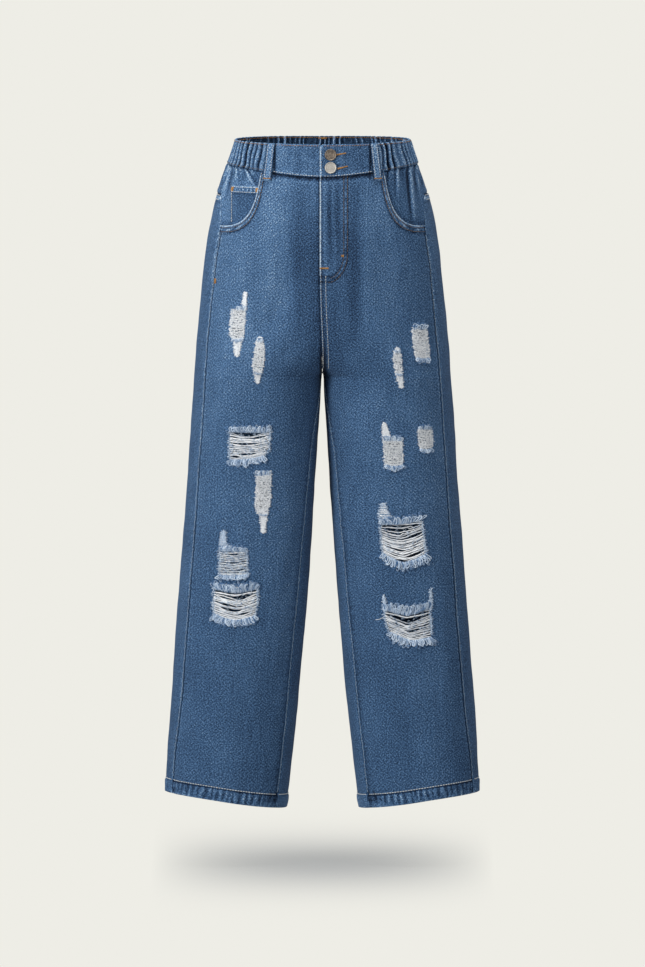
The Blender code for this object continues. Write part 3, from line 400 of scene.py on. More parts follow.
def fold_lift(side, turn, drop):
    """How far the large folds move the skin out at a place: a bell across, level at both ends."""
    lift = np.zeros(np.broadcast(side, turn, drop).shape)
    degrees = np.degrees(turn) % 360
    for row in FOLDS:
        fold = dict(zip(FOLD_COLUMNS, row))
        along = np.clip((drop - fold["start"]) / (fold["end"] - fold["start"]), 0, 1)
        across = fold["height"] * bell(degrees, fold["turn"], fold["spread"])
        lift = lift + np.where(side == fold["side"], across * np.sin(math.pi * along) ** 2, 0)
    return lift


def skin(side, turn, drop, lift=0.0):
    """Points on the cloth's outer face moved out by lift along its normal, and the normals."""
    side, turn, drop, lift = np.broadcast_arrays(
        *[np.asarray(a, float) for a in (side, turn, drop, lift)]
    )
    own = np.where(turn < -math.pi / 2, -side, side)
    turn = np.where(turn < -math.pi / 2, -math.pi - turn, turn)
    nudge = 1e-4
    across = bare_skin(turn + nudge, drop) - bare_skin(turn - nudge, drop)
    down = bare_skin(turn, drop + nudge) - bare_skin(turn, drop - nudge)
    out = np.cross(across, down)
    out /= np.linalg.norm(out, axis=-1, keepdims=True)
    points = bare_skin(turn, drop) + out * (lift + fold_lift(own, turn, drop))[..., None]
    mirror = np.stack([own, np.ones_like(own), np.ones_like(own)], axis=-1)
    return points * mirror, out * mirror


def turn_at(x, drop, front=True):
    """The turn of the place at a distance x from the centre plane, on the front or the back."""
    centre, half, front_depth, back_depth = section(drop)
    reach = np.clip(np.abs(x - centre) / half, 0, 1)
    depth = front_depth if front else back_depth
    angle = np.arctan2(depth * (1 - reach**ROUNDNESS) ** (1 / ROUNDNESS), x - centre)
    return angle if front else 2 * math.pi - angle


def side_seam(drop):
    """Turn of the side seam: at the outline under the waistband, then forward of it."""
    centre, half, _, _ = section(drop)
    inset = SIDE_SEAM_INSET * ease((drop - BAND_HEIGHT) / 0.10)
    inset = inset - (SIDE_SEAM_INSET - SIDE_SEAM_HEM_INSET) * ease((drop - 0.78) / 0.17)
    return turn_at(centre + half - inset, drop)


def inseam(drop):
    """Turn of the inseam: from the crotch point it eases forward down the leg."""
    centre, half, _, _ = section(drop)
    inset = INSEAM_INSET * (1 - np.exp(-np.maximum(drop - CROTCH_DROP, 0) / INSEAM_EASE))
    return turn_at(centre - half + inset, drop)


def fly_x(drop):
    """Distance of the front seam to the wearer's right of the centre plane."""
    centre, half, _, _ = section(drop)
    return FLY_SHIFT * np.clip(1 - centre / half, 0, 1) ** 3


def front_seam(side, drop):
    """Turn of the front seam on one side, half a seam gap from it."""
    return turn_at(-side * fly_x(drop) + SEAM_GAP / 2, drop)


def back_seam(drop):
    """Turn of the seat seam, half a seam gap from it."""
    return turn_at(SEAM_GAP / 2, drop, front=False)


def band_top(turn):
    """Drop of the waistband's top edge, highest at the sides and lowest at the front."""
    dip = np.where(np.sin(turn) > 0, TOP_FRONT_DIP, TOP_BACK_DIP)
    return TOP_SIDE_DIP + (dip - TOP_SIDE_DIP) * np.sin(turn) ** 2


def waist_seam(turn):
    """Drop of the seam under the waistband, which is deeper at the front."""
    return BAND_HEIGHT + BAND_FRONT_DEEPER * np.maximum(np.sin(turn), 0) ** 2


def hem_edge(turn):
    """Drop of the hem, which falls from the outer side to the inner side of the leg."""
    return HEM_OUTER_DROP + (HEM_INNER_DROP - HEM_OUTER_DROP) * (1 - np.cos(turn)) / 2


def yoke_seam(turn):
    """Drop of the yoke's lower edge, from the side seam down to the seat seam."""
    return YOKE_SIDE_DROP + (YOKE_CENTRE_DROP - YOKE_SIDE_DROP) * np.maximum(-np.sin(turn), 0) ** 1.5


def radius_at(turn, drop):
    """Distance from a leg's middle line to the skin, which turns angles into lengths."""
    centre = section(drop)[0]
    point = bare_skin(turn, drop)
    return np.hypot(point[..., 0] - centre, point[..., 1])


MOUTH_START_DROP = float(waist_seam(turn_at(MOUTH_X, BAND_HEIGHT))) + SEAM_GAP
MOUTH_START_TURN = float(turn_at(MOUTH_X, MOUTH_START_DROP))
MOUTH_END_TURN = float(side_seam(MOUTH_BOTTOM)) + SEAM_TURN


def mouth_turn(drop):
    """Turn of the pocket mouth, a quarter of a squared oval from waist seam to side seam."""
    rise = np.clip((drop - MOUTH_START_DROP) / (MOUTH_BOTTOM - MOUTH_START_DROP), 0, 1)
    return MOUTH_END_TURN + (MOUTH_START_TURN - MOUTH_END_TURN) * (1 - rise**MOUTH_SQUARENESS) ** (
        1 / MOUTH_SQUARENESS
    )


def mouth_share(turn, drop):
    """1 on the pocket mouth's oval, less inside the mouth and more on the front panel."""
    down = (drop - MOUTH_START_DROP) / (MOUTH_BOTTOM - MOUTH_START_DROP)
    across = (turn - MOUTH_END_TURN) / (MOUTH_START_TURN - MOUTH_END_TURN)
    across, down = np.maximum(across, 0), np.maximum(down, 0)
    return (across**MOUTH_SQUARENESS + down**MOUTH_SQUARENESS) ** (1 / MOUTH_SQUARENESS)


def near_seam(gap):
    """The valley beside a seam and the soft roll past it, by the distance from the seam."""
    return -0.0011 * bell(gap, 0, 0.0011) + 0.0005 * bell(gap, 0.0045, 0.0030)


def felled(gap):
    """A felled seam: a raised edge that is topstitched, and the groove that the stitches pull."""
    return 0.0005 * bell(gap, 0.0008, 0.0009) - 0.0010 * bell(gap, 0.0026, 0.0010)


def lines(rows):
    """Lines across the cloth, each from a row: the distance that it follows, where it lies on it,
    its width, how much it lightens or darkens, and where it runs."""
    return sum(amount * bell(gap, at, width) * where for gap, at, width, amount, where in rows)


def pucker(gap, along, pitch=0.0105, reach=0.009, height=0.00055):
    """Small ridges across a seam that fade away from it and wander along it."""
    wave = np.sin(2 * math.pi * along / pitch + 1.9 * np.sin(along * 61) + 1.1 * np.sin(along * 143))
    return height * wave * np.exp(-np.abs(gap) / reach)


def cloth_waves(side, turn, drop):
    """Soft unevenness of the whole cloth, and long slack waves down the legs."""
    u = turn * GIRTH
    small = 0.00032 * ripple(u, 0.55 * drop, 0.026, 2.0 + side)
    middle = 0.0007 * ripple(1.25 * u, 0.5 * drop, 0.085, 4.0 + 1.3 * side)
    return small + middle


def hem_lift(turn, drop, inner):
    """The doubled hem: it stands proud, with slanted roping ridges and a dent at its top."""
    above = drop - (hem_edge(turn) - HEM_HEIGHT)
    band = ease((above + 0.0004) / 0.0014)
    u = turn * 0.091
    slant = 2 * math.pi * (u + 0.12 * above * inner) / 0.0100
    rope = np.sin(slant + 1.2 * np.sin(u * 90) + 0.8 * np.sin(u * 211))
    along = np.sin(math.pi * np.clip(above / HEM_HEIGHT, 0, 1)) ** 0.7
    dent = -0.0009 * bell(above, 0.0008, 0.0011)
    return band * (0.0011 + 0.0009 * rope * along) + dent


def gather_phase(turn):
    """Phase of the waistband's gathers at a turn, uneven in spacing."""
    edge = float(turn_at(LOOP_X, 0.02))
    share = (turn + math.pi / 2) / (edge + math.pi / 2)
    wander = 1.1 * np.sin(7 * turn) + 0.8 * np.sin(17 * turn + 1) + 0.5 * np.sin(31 * turn + 2)
    return math.pi * GATHERS * share + wander, share


def gather_wave(turn, depth):
    """Gathers round the elastic: rounded ridges with deep narrow valleys, uneven in height."""
    phase, share = gather_phase(turn)
    uneven = np.maximum(0.78 + 0.34 * np.sin(9 * turn + 2) + 0.30 * np.sin(23 * turn), 0.30)
    uneven = uneven * (0.85 + 0.40 * np.sin(phase / 4 + 2 * turn))
    wave = 1.6 * np.abs(np.cos(phase / 2)) ** 0.75 - 1.35
    return depth * uneven * wave * ease((1 - np.abs(share)) / 0.03)


def soft_gathers(turn, below, length, depth):
    """Gathers that run out below the waistband as folds, some of them much further than others."""
    phase, share = gather_phase(turn)
    reach = length * (0.62 + 0.38 * np.sin(5.3 * turn + 0.6) + 0.35 * np.sin(13 * turn))
    fade = 1 - ease(below / np.maximum(reach, 0.007))
    wave = np.abs(np.cos(phase * 0.25 + 0.6 * np.sin(4 * turn))) ** 0.8 - 0.7
    wave = wave + 0.5 * (np.abs(np.cos(phase / 2)) ** 0.8 - 0.7) * (1 - ease(below / 0.012))
    return 1.6 * depth * wave * fade * ease((1 - np.abs(share)) / 0.06)


def fly_gap(x, drop):
    """Distance from the fly's J, less than nothing inside it."""
    down = np.maximum(drop - FLY_BEND_DROP, 0) / (FLY_FOOT_DROP - FLY_BEND_DROP)
    across = (x - FLY_NEAR) / (FLY_FAR - FLY_NEAR)
    bend = np.hypot(np.maximum(across, 0), down) - 1
    return bend * (FLY_FAR - FLY_NEAR)


def creases(side, x, drop):
    """Sharp creases with a rounded ridge beside each, along straight lines of x and drop."""
    lift = 0.0
    for row in CREASES:
        crease = dict(zip(CREASE_COLUMNS, row))
        if crease["side"] != side:
            continue
        t = (drop - crease["top"]) / (crease["foot"] - crease["top"])
        away = x - crease["top_x"] - (crease["foot_x"] - crease["top_x"]) * t
        span = np.sin(math.pi * np.clip(0.5 + 0.5 * t, 0, 1)) ** 0.7 * (t > -1) * (t < 1)
        width = crease["width"]
        across = bell(away, 0, width) - 0.75 * bell(away, 1.9 * width, 1.2 * width)
        lift = lift - crease["depth"] * across * span
    return lift


def x_at(turn, drop):
    """Distance of a place from the centre plane."""
    return section(drop)[0] + radius_at(turn, drop) * np.cos(turn)


def mouth_angle(x, drop):
    """How far round the pocket mouth a place lies."""
    return np.arctan2(drop - MOUTH_START_DROP, np.maximum(x - MOUTH_X, 0.0) + 0.02)


def mouth_lift(turn, drop, x):
    """The turned hem of the pocket mouth: a raised band, its groove and the ridges across it."""
    gap = (mouth_share(turn, drop) - 1) * MOUTH_SIZE
    angle = mouth_angle(x, drop)
    hem = 0.0010 * (1 - ease((gap - 0.0074) / 0.0016)) - 0.0008 * bell(gap, 0.0084, 0.0013)
    hem = hem + 0.0007 * np.sin(angle * 52 + np.sin(angle * 17)) * bell(gap, 0.0045, 0.0035)
    return hem * (drop < MOUTH_BOTTOM + 0.02) * (gap < 0.03)


def fly_lift(x, drop, lap_gap):
    """The fly: the J raised inside its stitching, the lapped edge, and two folds down it."""
    gap = fly_gap(x, drop)
    rows = 0.0007 * (1 - ease((gap + 0.0004) / 0.0018)) - 0.0006 * bell(gap, -0.001, 0.0010)
    rows = rows + pucker(gap, drop + 0.7 * x, 0.009, 0.006, 0.0004)
    lap = 0.0009 * (1 - ease((lap_gap - 0.0005) / 0.004)) - 0.0004
    folds = -0.0013 * bell(x, 0.0095, 0.0032) - 0.00104 * bell(x, 0.0205, 0.0030)
    folds = folds + 0.0006 * bell(x, 0.015, 0.003)
    span = np.sin(math.pi * np.clip((drop - 0.052) / 0.11, 0, 1)) ** 1.2
    in_fly = ease((FLY_FOOT_DROP + 0.004 - drop) / 0.003)
    return rows * in_fly + lap * ease((CROTCH_DROP + 0.01 - drop) / 0.02) + folds * span


def front_lift(side, turn, drop):
    """Lift of a front panel: waves, seams, pocket mouth, fly, and the hem."""
    radius = radius_at(turn, drop)
    x = section(drop)[0] + radius * np.cos(turn)
    lift = cloth_waves(side, turn, drop) + mouth_lift(turn, drop, x)
    outer_gap = np.where(drop > MOUTH_BOTTOM, (turn - side_seam(drop) - SEAM_TURN) * radius, 1.0)
    inner_gap = np.where(drop > CROTCH_DROP, (inseam(drop) - SEAM_TURN - turn) * radius, 1.0)
    for gap, along in ((outer_gap, drop), (inner_gap, drop + 0.3)):
        lift = lift + felled(gap) + pucker(gap, along)
    waist_gap = drop - waist_seam(turn)
    lift = lift + 0.4 * near_seam(waist_gap) + pucker(waist_gap, 0.9 * x, 0.012, 0.010, 0.0004)
    fork_gap = x + side * fly_x(drop)
    above_crotch = ease((CROTCH_DROP + 0.01 - drop) / 0.02)
    if side > 0:
        lift = lift + fly_lift(x, drop, fork_gap)
    else:
        lift = lift - 0.0010 * bell(fork_gap, 0, 0.0030) * above_crotch
    lift = lift + pucker(fork_gap, drop + 0.11, 0.012, 0.007, 0.0004) * above_crotch
    return lift + hem_lift(turn, drop, 1.0)


def back_lift(side, turn, drop):
    """Lift of a back panel: waves, seams and the hem, with creases behind the knee."""
    radius = radius_at(turn, drop)
    x = section(drop)[0] + radius * np.cos(turn)
    outer_gap = (side_seam(drop) + 2 * math.pi - SEAM_TURN - turn) * radius
    lift = cloth_waves(side, turn, drop) + 0.3 * near_seam(outer_gap) + pucker(outer_gap, drop + 0.2)
    inner_gap = np.where(drop > CROTCH_DROP, (turn - inseam(drop) - SEAM_TURN) * radius, 1.0)
    lift = lift + near_seam(inner_gap) + pucker(inner_gap, drop + 0.5)
    seat_gap = np.where(drop < CROTCH_DROP, np.maximum(x, 0), 1.0)
    lift = lift + (near_seam(seat_gap) + pucker(seat_gap, drop)) * (1 - ease((drop - 0.26) / 0.05))
    yoke_gap = drop - yoke_seam(turn)
    lift = lift + near_seam(yoke_gap) + pucker(yoke_gap, x, 0.012)
    knee = bell(drop, 0.50, 0.10) * ease(-np.sin(turn) * 2)
    lift = lift + 0.0016 * ripple(0.35 * turn * GIRTH, drop, 0.060, 6 + side) * knee
    return lift + hem_lift(turn, drop, -1.0)


def facing_lift(side):
    """Lift of the pocket facing: behind the front panel, but flush at the side seam and the waist
    seam, with the gathers' run-out and creases on it."""
    behind = -DENIM - SEAM_GAP - (0.0015 if side < 0 else 0)

    def lift(turn, drop):
        below = drop - waist_seam(turn)
        x = x_at(turn, drop)
        run = soft_gathers(turn, below, 0.055, 0.0016) * ease((MOUTH_START_TURN - turn) / 0.10)
        from_side = (turn - side_seam(drop)) * radius_at(turn, drop)
        flush = behind * (1 - np.exp(-np.maximum(from_side, 0) / 0.004))
        flush = flush * (1 - bell(below, 0, 0.0025) * ease((MOUTH_START_TURN - turn) / 0.04))
        wrinkles = creases(side, x, drop) + cloth_waves(side, turn, drop)
        return flush + run + wrinkles + 0.4 * near_seam(below)

    return lift


def yoke_lift(side, turn, drop):
    """Lift of a yoke: the gathers under the waistband run out down it."""
    below = drop - BAND_HEIGHT
    run = soft_gathers(turn, below, 0.048, 0.0009) * ease((-turn + 0.9) / 0.5)
    edge_gap = yoke_seam(turn) - drop
    return run + near_seam(below) + near_seam(edge_gap) + cloth_waves(side, turn, drop)


def link(name, verts, quads):
    """A mesh object at the origin from points and four-cornered faces."""
    mesh = bpy.data.meshes.new(name)
    mesh.vertices.add(len(verts))
    mesh.vertices.foreach_set("co", np.asarray(verts, np.float32).ravel())
    mesh.loops.add(quads.size)
    mesh.loops.foreach_set("vertex_index", quads.astype(np.int32).ravel())
    mesh.polygons.add(len(quads))
    mesh.polygons.foreach_set("loop_start", np.arange(0, quads.size, 4, dtype=np.int32))
    mesh.update(calc_edges=True)
    mesh.validate()
    mesh.shade_smooth()
    obj = bpy.data.objects.new(name, mesh)
    bpy.context.scene.collection.objects.link(obj)
    return obj


def give(obj, uv, **values):
    """Gives a mesh its UV map in metres of cloth, and one number at each point by name."""
    mesh = obj.data
    corners = np.empty(len(mesh.loops), np.int32)
    mesh.loops.foreach_get("vertex_index", corners)
    layer = mesh.uv_layers.new(name="cloth")
    layer.data.foreach_set("uv", np.asarray(uv, np.float32)[corners].ravel())
    for name, value in values.items():
        data = mesh.attributes.new(name, "FLOAT", "POINT").data
        data.foreach_set("value", np.asarray(value, np.float32).ravel())


def finish_piece(obj, material, slot, nodes=()):
    """Gives a piece its material and the body that it rides on, and hides the parts of the nodes
    that it stands for. Its slot is not used."""
    obj.data.materials.append(material)
    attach(obj, "root")
    if nodes:
        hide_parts(*nodes)


def cloth(
    name, side, turn, drop, lift, kind, nodes,
    thick=DENIM, keep=None, fade=0.0, lining=None, grain_x=None,
):
    """A cloth wall on a grid of places: the outer face at its lift, the same grid a thickness
    below, and a strip round every open edge. Its kind is a material and the material's slot.
    Cells outside keep are left out. Lining is the fade number of the inner face, which the
    material turns into painted light. The weave runs upright along the line at grain_x. The cut's
    width, length and area are taken from the outer face."""
    points, out = skin(side, turn, drop, lift)
    rows, columns = turn.shape
    index = np.arange(rows * columns).reshape(rows, columns)
    cells = np.stack([index[:-1, :-1], index[:-1, 1:], index[1:, 1:], index[1:, :-1]], axis=-1)
    keep = np.ones((rows - 1, columns - 1), bool) if keep is None else keep
    quads = cells[keep]
    flat, normal = points.reshape(-1, 3), out.reshape(-1, 3)
    first = flat[quads]
    face = np.cross(first[:, 2] - first[:, 0], first[:, 3] - first[:, 1])
    area = float(np.linalg.norm(face, axis=1).sum() / 2)
    if (face * normal[quads[:, 0]]).sum() < 0:
        quads = quads[:, ::-1]
    used, quads = np.unique(quads, return_inverse=True)
    quads = quads.reshape(-1, 4)
    ends = np.concatenate([quads[:, [k, (k + 1) % 4]] for k in range(4)])
    _, place, count = np.unique(np.sort(ends, axis=1), axis=0, return_index=True, return_counts=True)
    rim = ends[place[count == 1]]
    n = len(used)
    strip = np.column_stack([rim[:, 1], rim[:, 0], rim[:, 0] + n, rim[:, 1] + n])
    verts = np.vstack([flat[used], flat[used] - normal[used] * thick])
    obj = link(name, verts, np.vstack([quads, quads[:, ::-1] + n, strip]))
    steps = np.linalg.norm(np.diff(points, axis=1), axis=-1)
    width = float(steps.sum(axis=1).max())
    length = float(np.linalg.norm(np.diff(points, axis=0), axis=-1).sum(axis=0).max())
    run = np.concatenate([np.zeros((rows, 1)), np.cumsum(steps, axis=1)], axis=1)
    if grain_x is not None:
        x = np.abs(points[..., 0])
        nearest = np.argmin(np.abs(x - grain_x), axis=1)[:, None]
        way = np.sign(x[:, :1] - x[:, -1:])
        run = run - np.take_along_axis(run + way * (x - grain_x), nearest, axis=1)
    u = (run + side * 0.7).ravel()[used]
    v = np.broadcast_to(drop, turn.shape).ravel()[used]
    uv = np.column_stack([u, v])
    lining = fade if lining is None else lining
    fade, lining = (np.broadcast_to(a, turn.shape).ravel()[used] for a in (fade, lining))
    inside = np.concatenate([np.zeros(n), np.ones(n)])
    give(obj, np.vstack([uv, uv]), fade=np.concatenate([fade, lining]), inside=inside)
    finish_piece(obj, *kind, nodes)
    return obj, (width, length, area)


def declare(made):
    """Bounds a piece's cut area by its width and length; the result is not used."""
    obj, (width, length, area) = made
    area = min(max(area, 0.31 * width * length), width * length)


def strands(name, material, paths, out, radii, nodes=(), shade=0.0):
    """Threads as tubes: a ring of points round each place of each path, its radius along the way,
    and both ends closed. All paths have the same number of places."""
    paths, out = np.asarray(paths), np.asarray(out)
    count, length, _ = paths.shape
    along = np.gradient(paths, axis=1)
    along /= np.maximum(np.linalg.norm(along, axis=-1, keepdims=True), 1e-9)
    across = np.cross(along, out)
    across /= np.maximum(np.linalg.norm(across, axis=-1, keepdims=True), 1e-9)
    rise = np.cross(across, along)
    angle = 2 * math.pi * (np.arange(TUBE_SIDES) + 0.5) / TUBE_SIDES
    ring = (
        np.cos(angle)[None, None, :, None] * across[:, :, None]
        + np.sin(angle)[None, None, :, None] * rise[:, :, None]
    )
    radii = np.broadcast_to(radii, (count, length))
    verts = paths[:, :, None] + ring * radii[:, :, None, None]
    index = np.arange(count * length * TUBE_SIDES).reshape(count, length, TUBE_SIDES)
    nxt = np.roll(index, -1, axis=2)
    body = np.stack([index[:, :-1], nxt[:, :-1], nxt[:, 1:], index[:, 1:]], axis=-1).reshape(-1, 4)
    obj = link(name, verts.reshape(-1, 3), np.vstack([body, index[:, 0, ::-1], index[:, -1]]))
    shade = np.broadcast_to(np.asarray(shade, float).reshape(-1, 1, 1), index.shape)
    u, v = np.arange(TUBE_SIDES) * 0.001, np.arange(1, length + 1)[:, None] * 0.001
    uv = np.stack(np.broadcast_arrays(u, v), axis=-1) + (np.arange(count) * 0.0137)[:, None, None, None]
    give(obj, uv.reshape(-1, 2), shade=shade.ravel())
    finish_piece(obj, material, "weft", nodes)


stitches = {"pale": [], "cream": [], "gold": [], "brown": []}


def flat_lift(height):
    """A lift that is the same everywhere."""
    return lambda turn, drop: height + 0 * turn


def sew(thread, side, turn, drop, lift, length=STITCH_LENGTH, radius=STITCH_RADIUS):
    """A row of stitches along a line of places: short threads that rise from the cloth, lie on
    it and go back in."""
    points, _ = skin(side, turn, drop, lift(turn, drop))
    run = np.concatenate([[0], np.cumsum(np.linalg.norm(np.diff(points, axis=0), axis=1))])
    starts = np.arange(0.001, run[-1] - length, length + STITCH_GAP)
    if len(starts) == 0:
        return
    at = starts[:, None] + length * np.array([0, 0.24, 0.76, 1.0])
    turns, drops = np.interp(at, run, turn), np.interp(at, run, drop)
    rise = radius * np.array([-0.4, 0.95, 0.95, -0.4])
    paths, out = skin(side, turns, drops, lift(turns, drops) + rise)
    stitches[thread].append((paths, out, radius * np.array([0.6, 1, 1, 0.6]) + 0 * drops))


def bartack(thread, side, turn, drop, width, height, lift):
    """A short dense bar of stitches: threads side by side across the bar."""
    count = max(5, int(width / 0.0007))
    radius = float(radius_at(turn, drop))
    offsets = (np.arange(count) / (count - 1) - 0.5) * width
    swing = np.where(np.arange(count) % 2 == 0, 1, -1)[:, None] * 0.00015
    turns = turn + offsets[:, None] / radius + swing * np.linspace(-1, 1, 4) / radius
    drops = drop + height * np.linspace(-0.5, 0.5, 4)[None, :] + 0 * turns
    paths, out = skin(side, turns, drops, lift(turns, drops) + 0.0005 * np.array([0.2, 1.2, 1.2, 0.2]))
    stitches[thread].append((paths, out, 0.00048 + 0 * drops))


def wire(node, inputs):
    """Sets inputs of a node: a socket is linked, and any other value is written in."""
    for key, value in inputs.items():
        if isinstance(value, bpy.types.NodeSocket):
            node.id_data.links.new(value, node.inputs[key])
        else:
            node.inputs[key].default_value = value


def adder(tree):
    """A helper that adds a node to a tree, with its inputs and settings."""

    def add(kind, inputs=None, **settings):
        node = tree.nodes.new(kind)
        for key, value in settings.items():
            setattr(node, key, value)
        wire(node, inputs or {})
        return node

    return add


def new_material(name):
    """A new material, its Principled shader, and the helper that adds nodes to it."""
    material = bpy.data.materials.new(name)
    material.use_nodes = True
    return material, material.node_tree.nodes["Principled BSDF"], adder(material.node_tree)


def maths(add, operation, a, b=0.0, c=None, clamp=False):
    """One Math node's result."""
    inputs = {0: a, 1: b} if c is None else {0: a, 1: b, 2: c}
    return add("ShaderNodeMath", inputs, operation=operation, use_clamp=clamp).outputs[0]


def ramp(add, value, stops):
    """A colour ramp through stops of (place, colour)."""
    node = add("ShaderNodeValToRGB", {"Fac": value})
    elements = node.color_ramp.elements
    while len(elements) < len(stops):
        elements.new(0.5)
    for element, (place, colour) in zip(elements, stops):
        element.position = place
        element.color = (*colour, 1)
    return node.outputs["Color"]


def denim_material(name, base=0.0):
    """Stone-washed twill. Navy, mid blue and pale blue by a mottle of two noises stretched along
    the twill's slant, faint wandering dots, slub streaks down the warp, broad clouds, and the fade
    numbers, which hold washing and worn edges together with painted shade in grooves, seams and
    valleys and painted light on ridges. The inside is a little duller, and painted lighter where
    its fade number is high, standing in for light that does not reach it."""
    material, shader, add = new_material(name)
    uv = add("ShaderNodeUVMap", uv_map="cloth").outputs["UV"]

    def noise(vector, scale, low, high, **inputs):
        node = add("ShaderNodeTexNoise", {"Vector": vector, "Scale": scale, **inputs})
        ends = {"From Min": low, "From Max": high, "To Min": -1.0, "To Max": 1.0}
        ends["Value"] = node.outputs["Fac"]
        return add("ShaderNodeMapRange", ends, interpolation_type="SMOOTHSTEP").outputs["Result"]

    slant = add("ShaderNodeMapping", {"Vector": uv, "Rotation": (0, 0, 0.5), "Scale": (1.1, 1.0, 1)})
    counter = add("ShaderNodeMapping", {"Vector": uv, "Rotation": (0, 0, -0.6), "Scale": (1.1, 1.0, 1)})
    grain = noise(slant.outputs[0], 485.0, 0.36, 0.64, Detail=1.0, Roughness=0.5)
    fleck = noise(counter.outputs[0], 690.0, 0.36, 0.64, Detail=1.0, Roughness=0.5)
    warp = add("ShaderNodeMapping", {"Vector": uv, "Scale": (560.0, 18.0, 1)})
    slub = noise(warp.outputs[0], 1.0, 0.3, 0.7, Detail=2.0)
    cloud = noise(uv, 16.0, 0.25, 0.75, Detail=3.0, Roughness=0.55)
    twill_way = add("ShaderNodeVectorMath", {0: uv, 1: (0.82, 0.57, 0)}, operation="DOT_PRODUCT")
    twill = maths(add, "SINE", maths(add, "MULTIPLY", twill_way.outputs["Value"], 2 * math.pi / 0.0013))
    wander = add("ShaderNodeTexNoise", {"Vector": uv, "Scale": 120.0, "Detail": 1.0}).outputs["Color"]
    shift = {0: wander, 1: (0.004, 0.004, 0), 2: uv}
    moved = add("ShaderNodeVectorMath", shift, operation="MULTIPLY_ADD")
    axes = add("ShaderNodeSeparateXYZ", {0: moved.outputs[0]})
    across = maths(add, "SINE", maths(add, "MULTIPLY", axes.outputs[0], 2 * math.pi / 0.0060))
    along = maths(add, "SINE", maths(add, "MULTIPLY", axes.outputs[1], 2 * math.pi / 0.0055))
    dots = maths(add, "MULTIPLY", across, along)
    fade = add("ShaderNodeAttribute", attribute_name="fade").outputs["Fac"]
    inside = add("ShaderNodeAttribute", attribute_name="inside").outputs["Fac"]
    value = 0.446 + base
    parts = (grain, 0.165), (fleck, 0.150), (dots, 0.080), (slub, 0.045), (cloud, 0.035), (twill, 0.03)
    for part, share in parts:
        value = maths(add, "MULTIPLY_ADD", part, share, value)
    # The fade numbers: washing and worn edges, with painted light on ridges and painted shade in dents and
    # seams
    value = maths(add, "MULTIPLY_ADD", fade, 0.28, value, clamp=True)
    colour = ramp(
        add, value,
        (
            (0.00, (0.0030, 0.0095, 0.025)),
            (0.25, (0.0175, 0.041, 0.088)),
            (0.50, (0.046, 0.104, 0.207)),
            (0.75, (0.108, 0.212, 0.370)),
            (0.90, (0.250, 0.380, 0.535)),
            (1.00, (0.520, 0.640, 0.745)),
        ),
    )
    # Painted light: the inside face is lightened by its fade number
    glow = maths(add, "MULTIPLY", inside, maths(add, "MAXIMUM", fade, 0.0))
    dull = maths(add, "MULTIPLY_ADD", glow, 0.9, maths(add, "MULTIPLY_ADD", inside, -0.10, 1.0))
    shaded = add("ShaderNodeVectorMath", {0: colour, 3: dull}, operation="SCALE")
    height = maths(add, "MULTIPLY_ADD", twill, 0.12, maths(add, "MULTIPLY", grain, 0.30))
    height = maths(add, "MULTIPLY_ADD", fleck, 0.24, height)
    bump = add("ShaderNodeBump", {"Height": height, "Strength": 0.6, "Distance": 0.0006})
    wire(shader, {
        "Base Color": shaded.outputs[0], "Normal": bump.outputs[0], "Roughness": 0.88,
        "Specular IOR Level": 0.14, "Sheen Weight": 0.02, "Sheen Roughness": 0.5,
    })
    return material


def yarn_material(name, dark, light, roughness=0.85):
    """Cotton yarn: its shade number and a fine twist pattern move it between two colours."""
    material, shader, add = new_material(name)
    uv = add("ShaderNodeUVMap", uv_map="cloth").outputs["UV"]
    twist = add("ShaderNodeTexNoise", {"Vector": uv, "Scale": 900.0, "Detail": 2.0})
    shade = add("ShaderNodeAttribute", attribute_name="shade").outputs["Fac"]
    value = maths(add, "ADD", maths(add, "MULTIPLY", twist.outputs["Fac"], 0.6), shade, clamp=True)
    colour = ramp(add, value, ((0.15, dark), (0.9, light)))
    bump = add("ShaderNodeBump", {"Height": twist.outputs["Fac"], "Strength": 0.4, "Distance": 0.0004})
    wire(shader, {
        "Base Color": colour, "Normal": bump.outputs[0], "Roughness": roughness, "Specular IOR Level": 0.25,
    })
    return material


def metal_material(name, dark, light, roughness):
    """Brushed metal with a cloudy patina, duller where it is dark."""
    material, shader, add = new_material(name)
    place = add("ShaderNodeTexCoord").outputs["Object"]
    patina = add("ShaderNodeTexNoise", {"Vector": place, "Scale": 420.0, "Detail": 4.0})
    colour = ramp(add, patina.outputs["Fac"], ((0.3, dark), (0.7, light)))
    rough = maths(add, "MULTIPLY_ADD", patina.outputs["Fac"], 0.25, roughness)
    wire(shader, {"Base Color": colour, "Roughness": rough, "Metallic": 1.0})
    return material


WASHED = (denim_material("washed_denim"), "denim")
WORN = (denim_material("worn_denim", 0.05), "denim_worn")
WEFT = yarn_material("white_weft", (0.26, 0.31, 0.38), (0.88, 0.90, 0.91))
FRAY = yarn_material("blue_fray", (0.075, 0.165, 0.32), (0.68, 0.79, 0.90))
THREADS = {
    "pale": yarn_material("pale_thread", (0.20, 0.28, 0.36), (0.46, 0.55, 0.62), 0.7),
    "cream": yarn_material("cream_thread", (0.42, 0.45, 0.47), (0.80, 0.82, 0.80), 0.7),
    "gold": yarn_material("golden_thread", (0.22, 0.10, 0.03), (0.55, 0.29, 0.09), 0.7),
    "brown": yarn_material("brown_thread", (0.07, 0.05, 0.04), (0.26, 0.20, 0.15), 0.7),
}
BRONZE = metal_material("antique_bronze", (0.13, 0.105, 0.085), (0.30, 0.25, 0.20), 0.40)
NICKEL = metal_material("pale_nickel", (0.40, 0.38, 0.34), (0.58, 0.55, 0.50), 0.46)


def spread(width, cell):
    """Shares across a panel: close together beside both edges, then evenly spaced."""
    edge = SEAM_STEPS / width
    count = int((width - 2 * SEAM_STEPS[-1]) / cell)
    middle = np.linspace(edge[-1], 1 - edge[-1], count + 1)[1:-1]
    return np.concatenate([edge, middle, 1 - edge[::-1]])


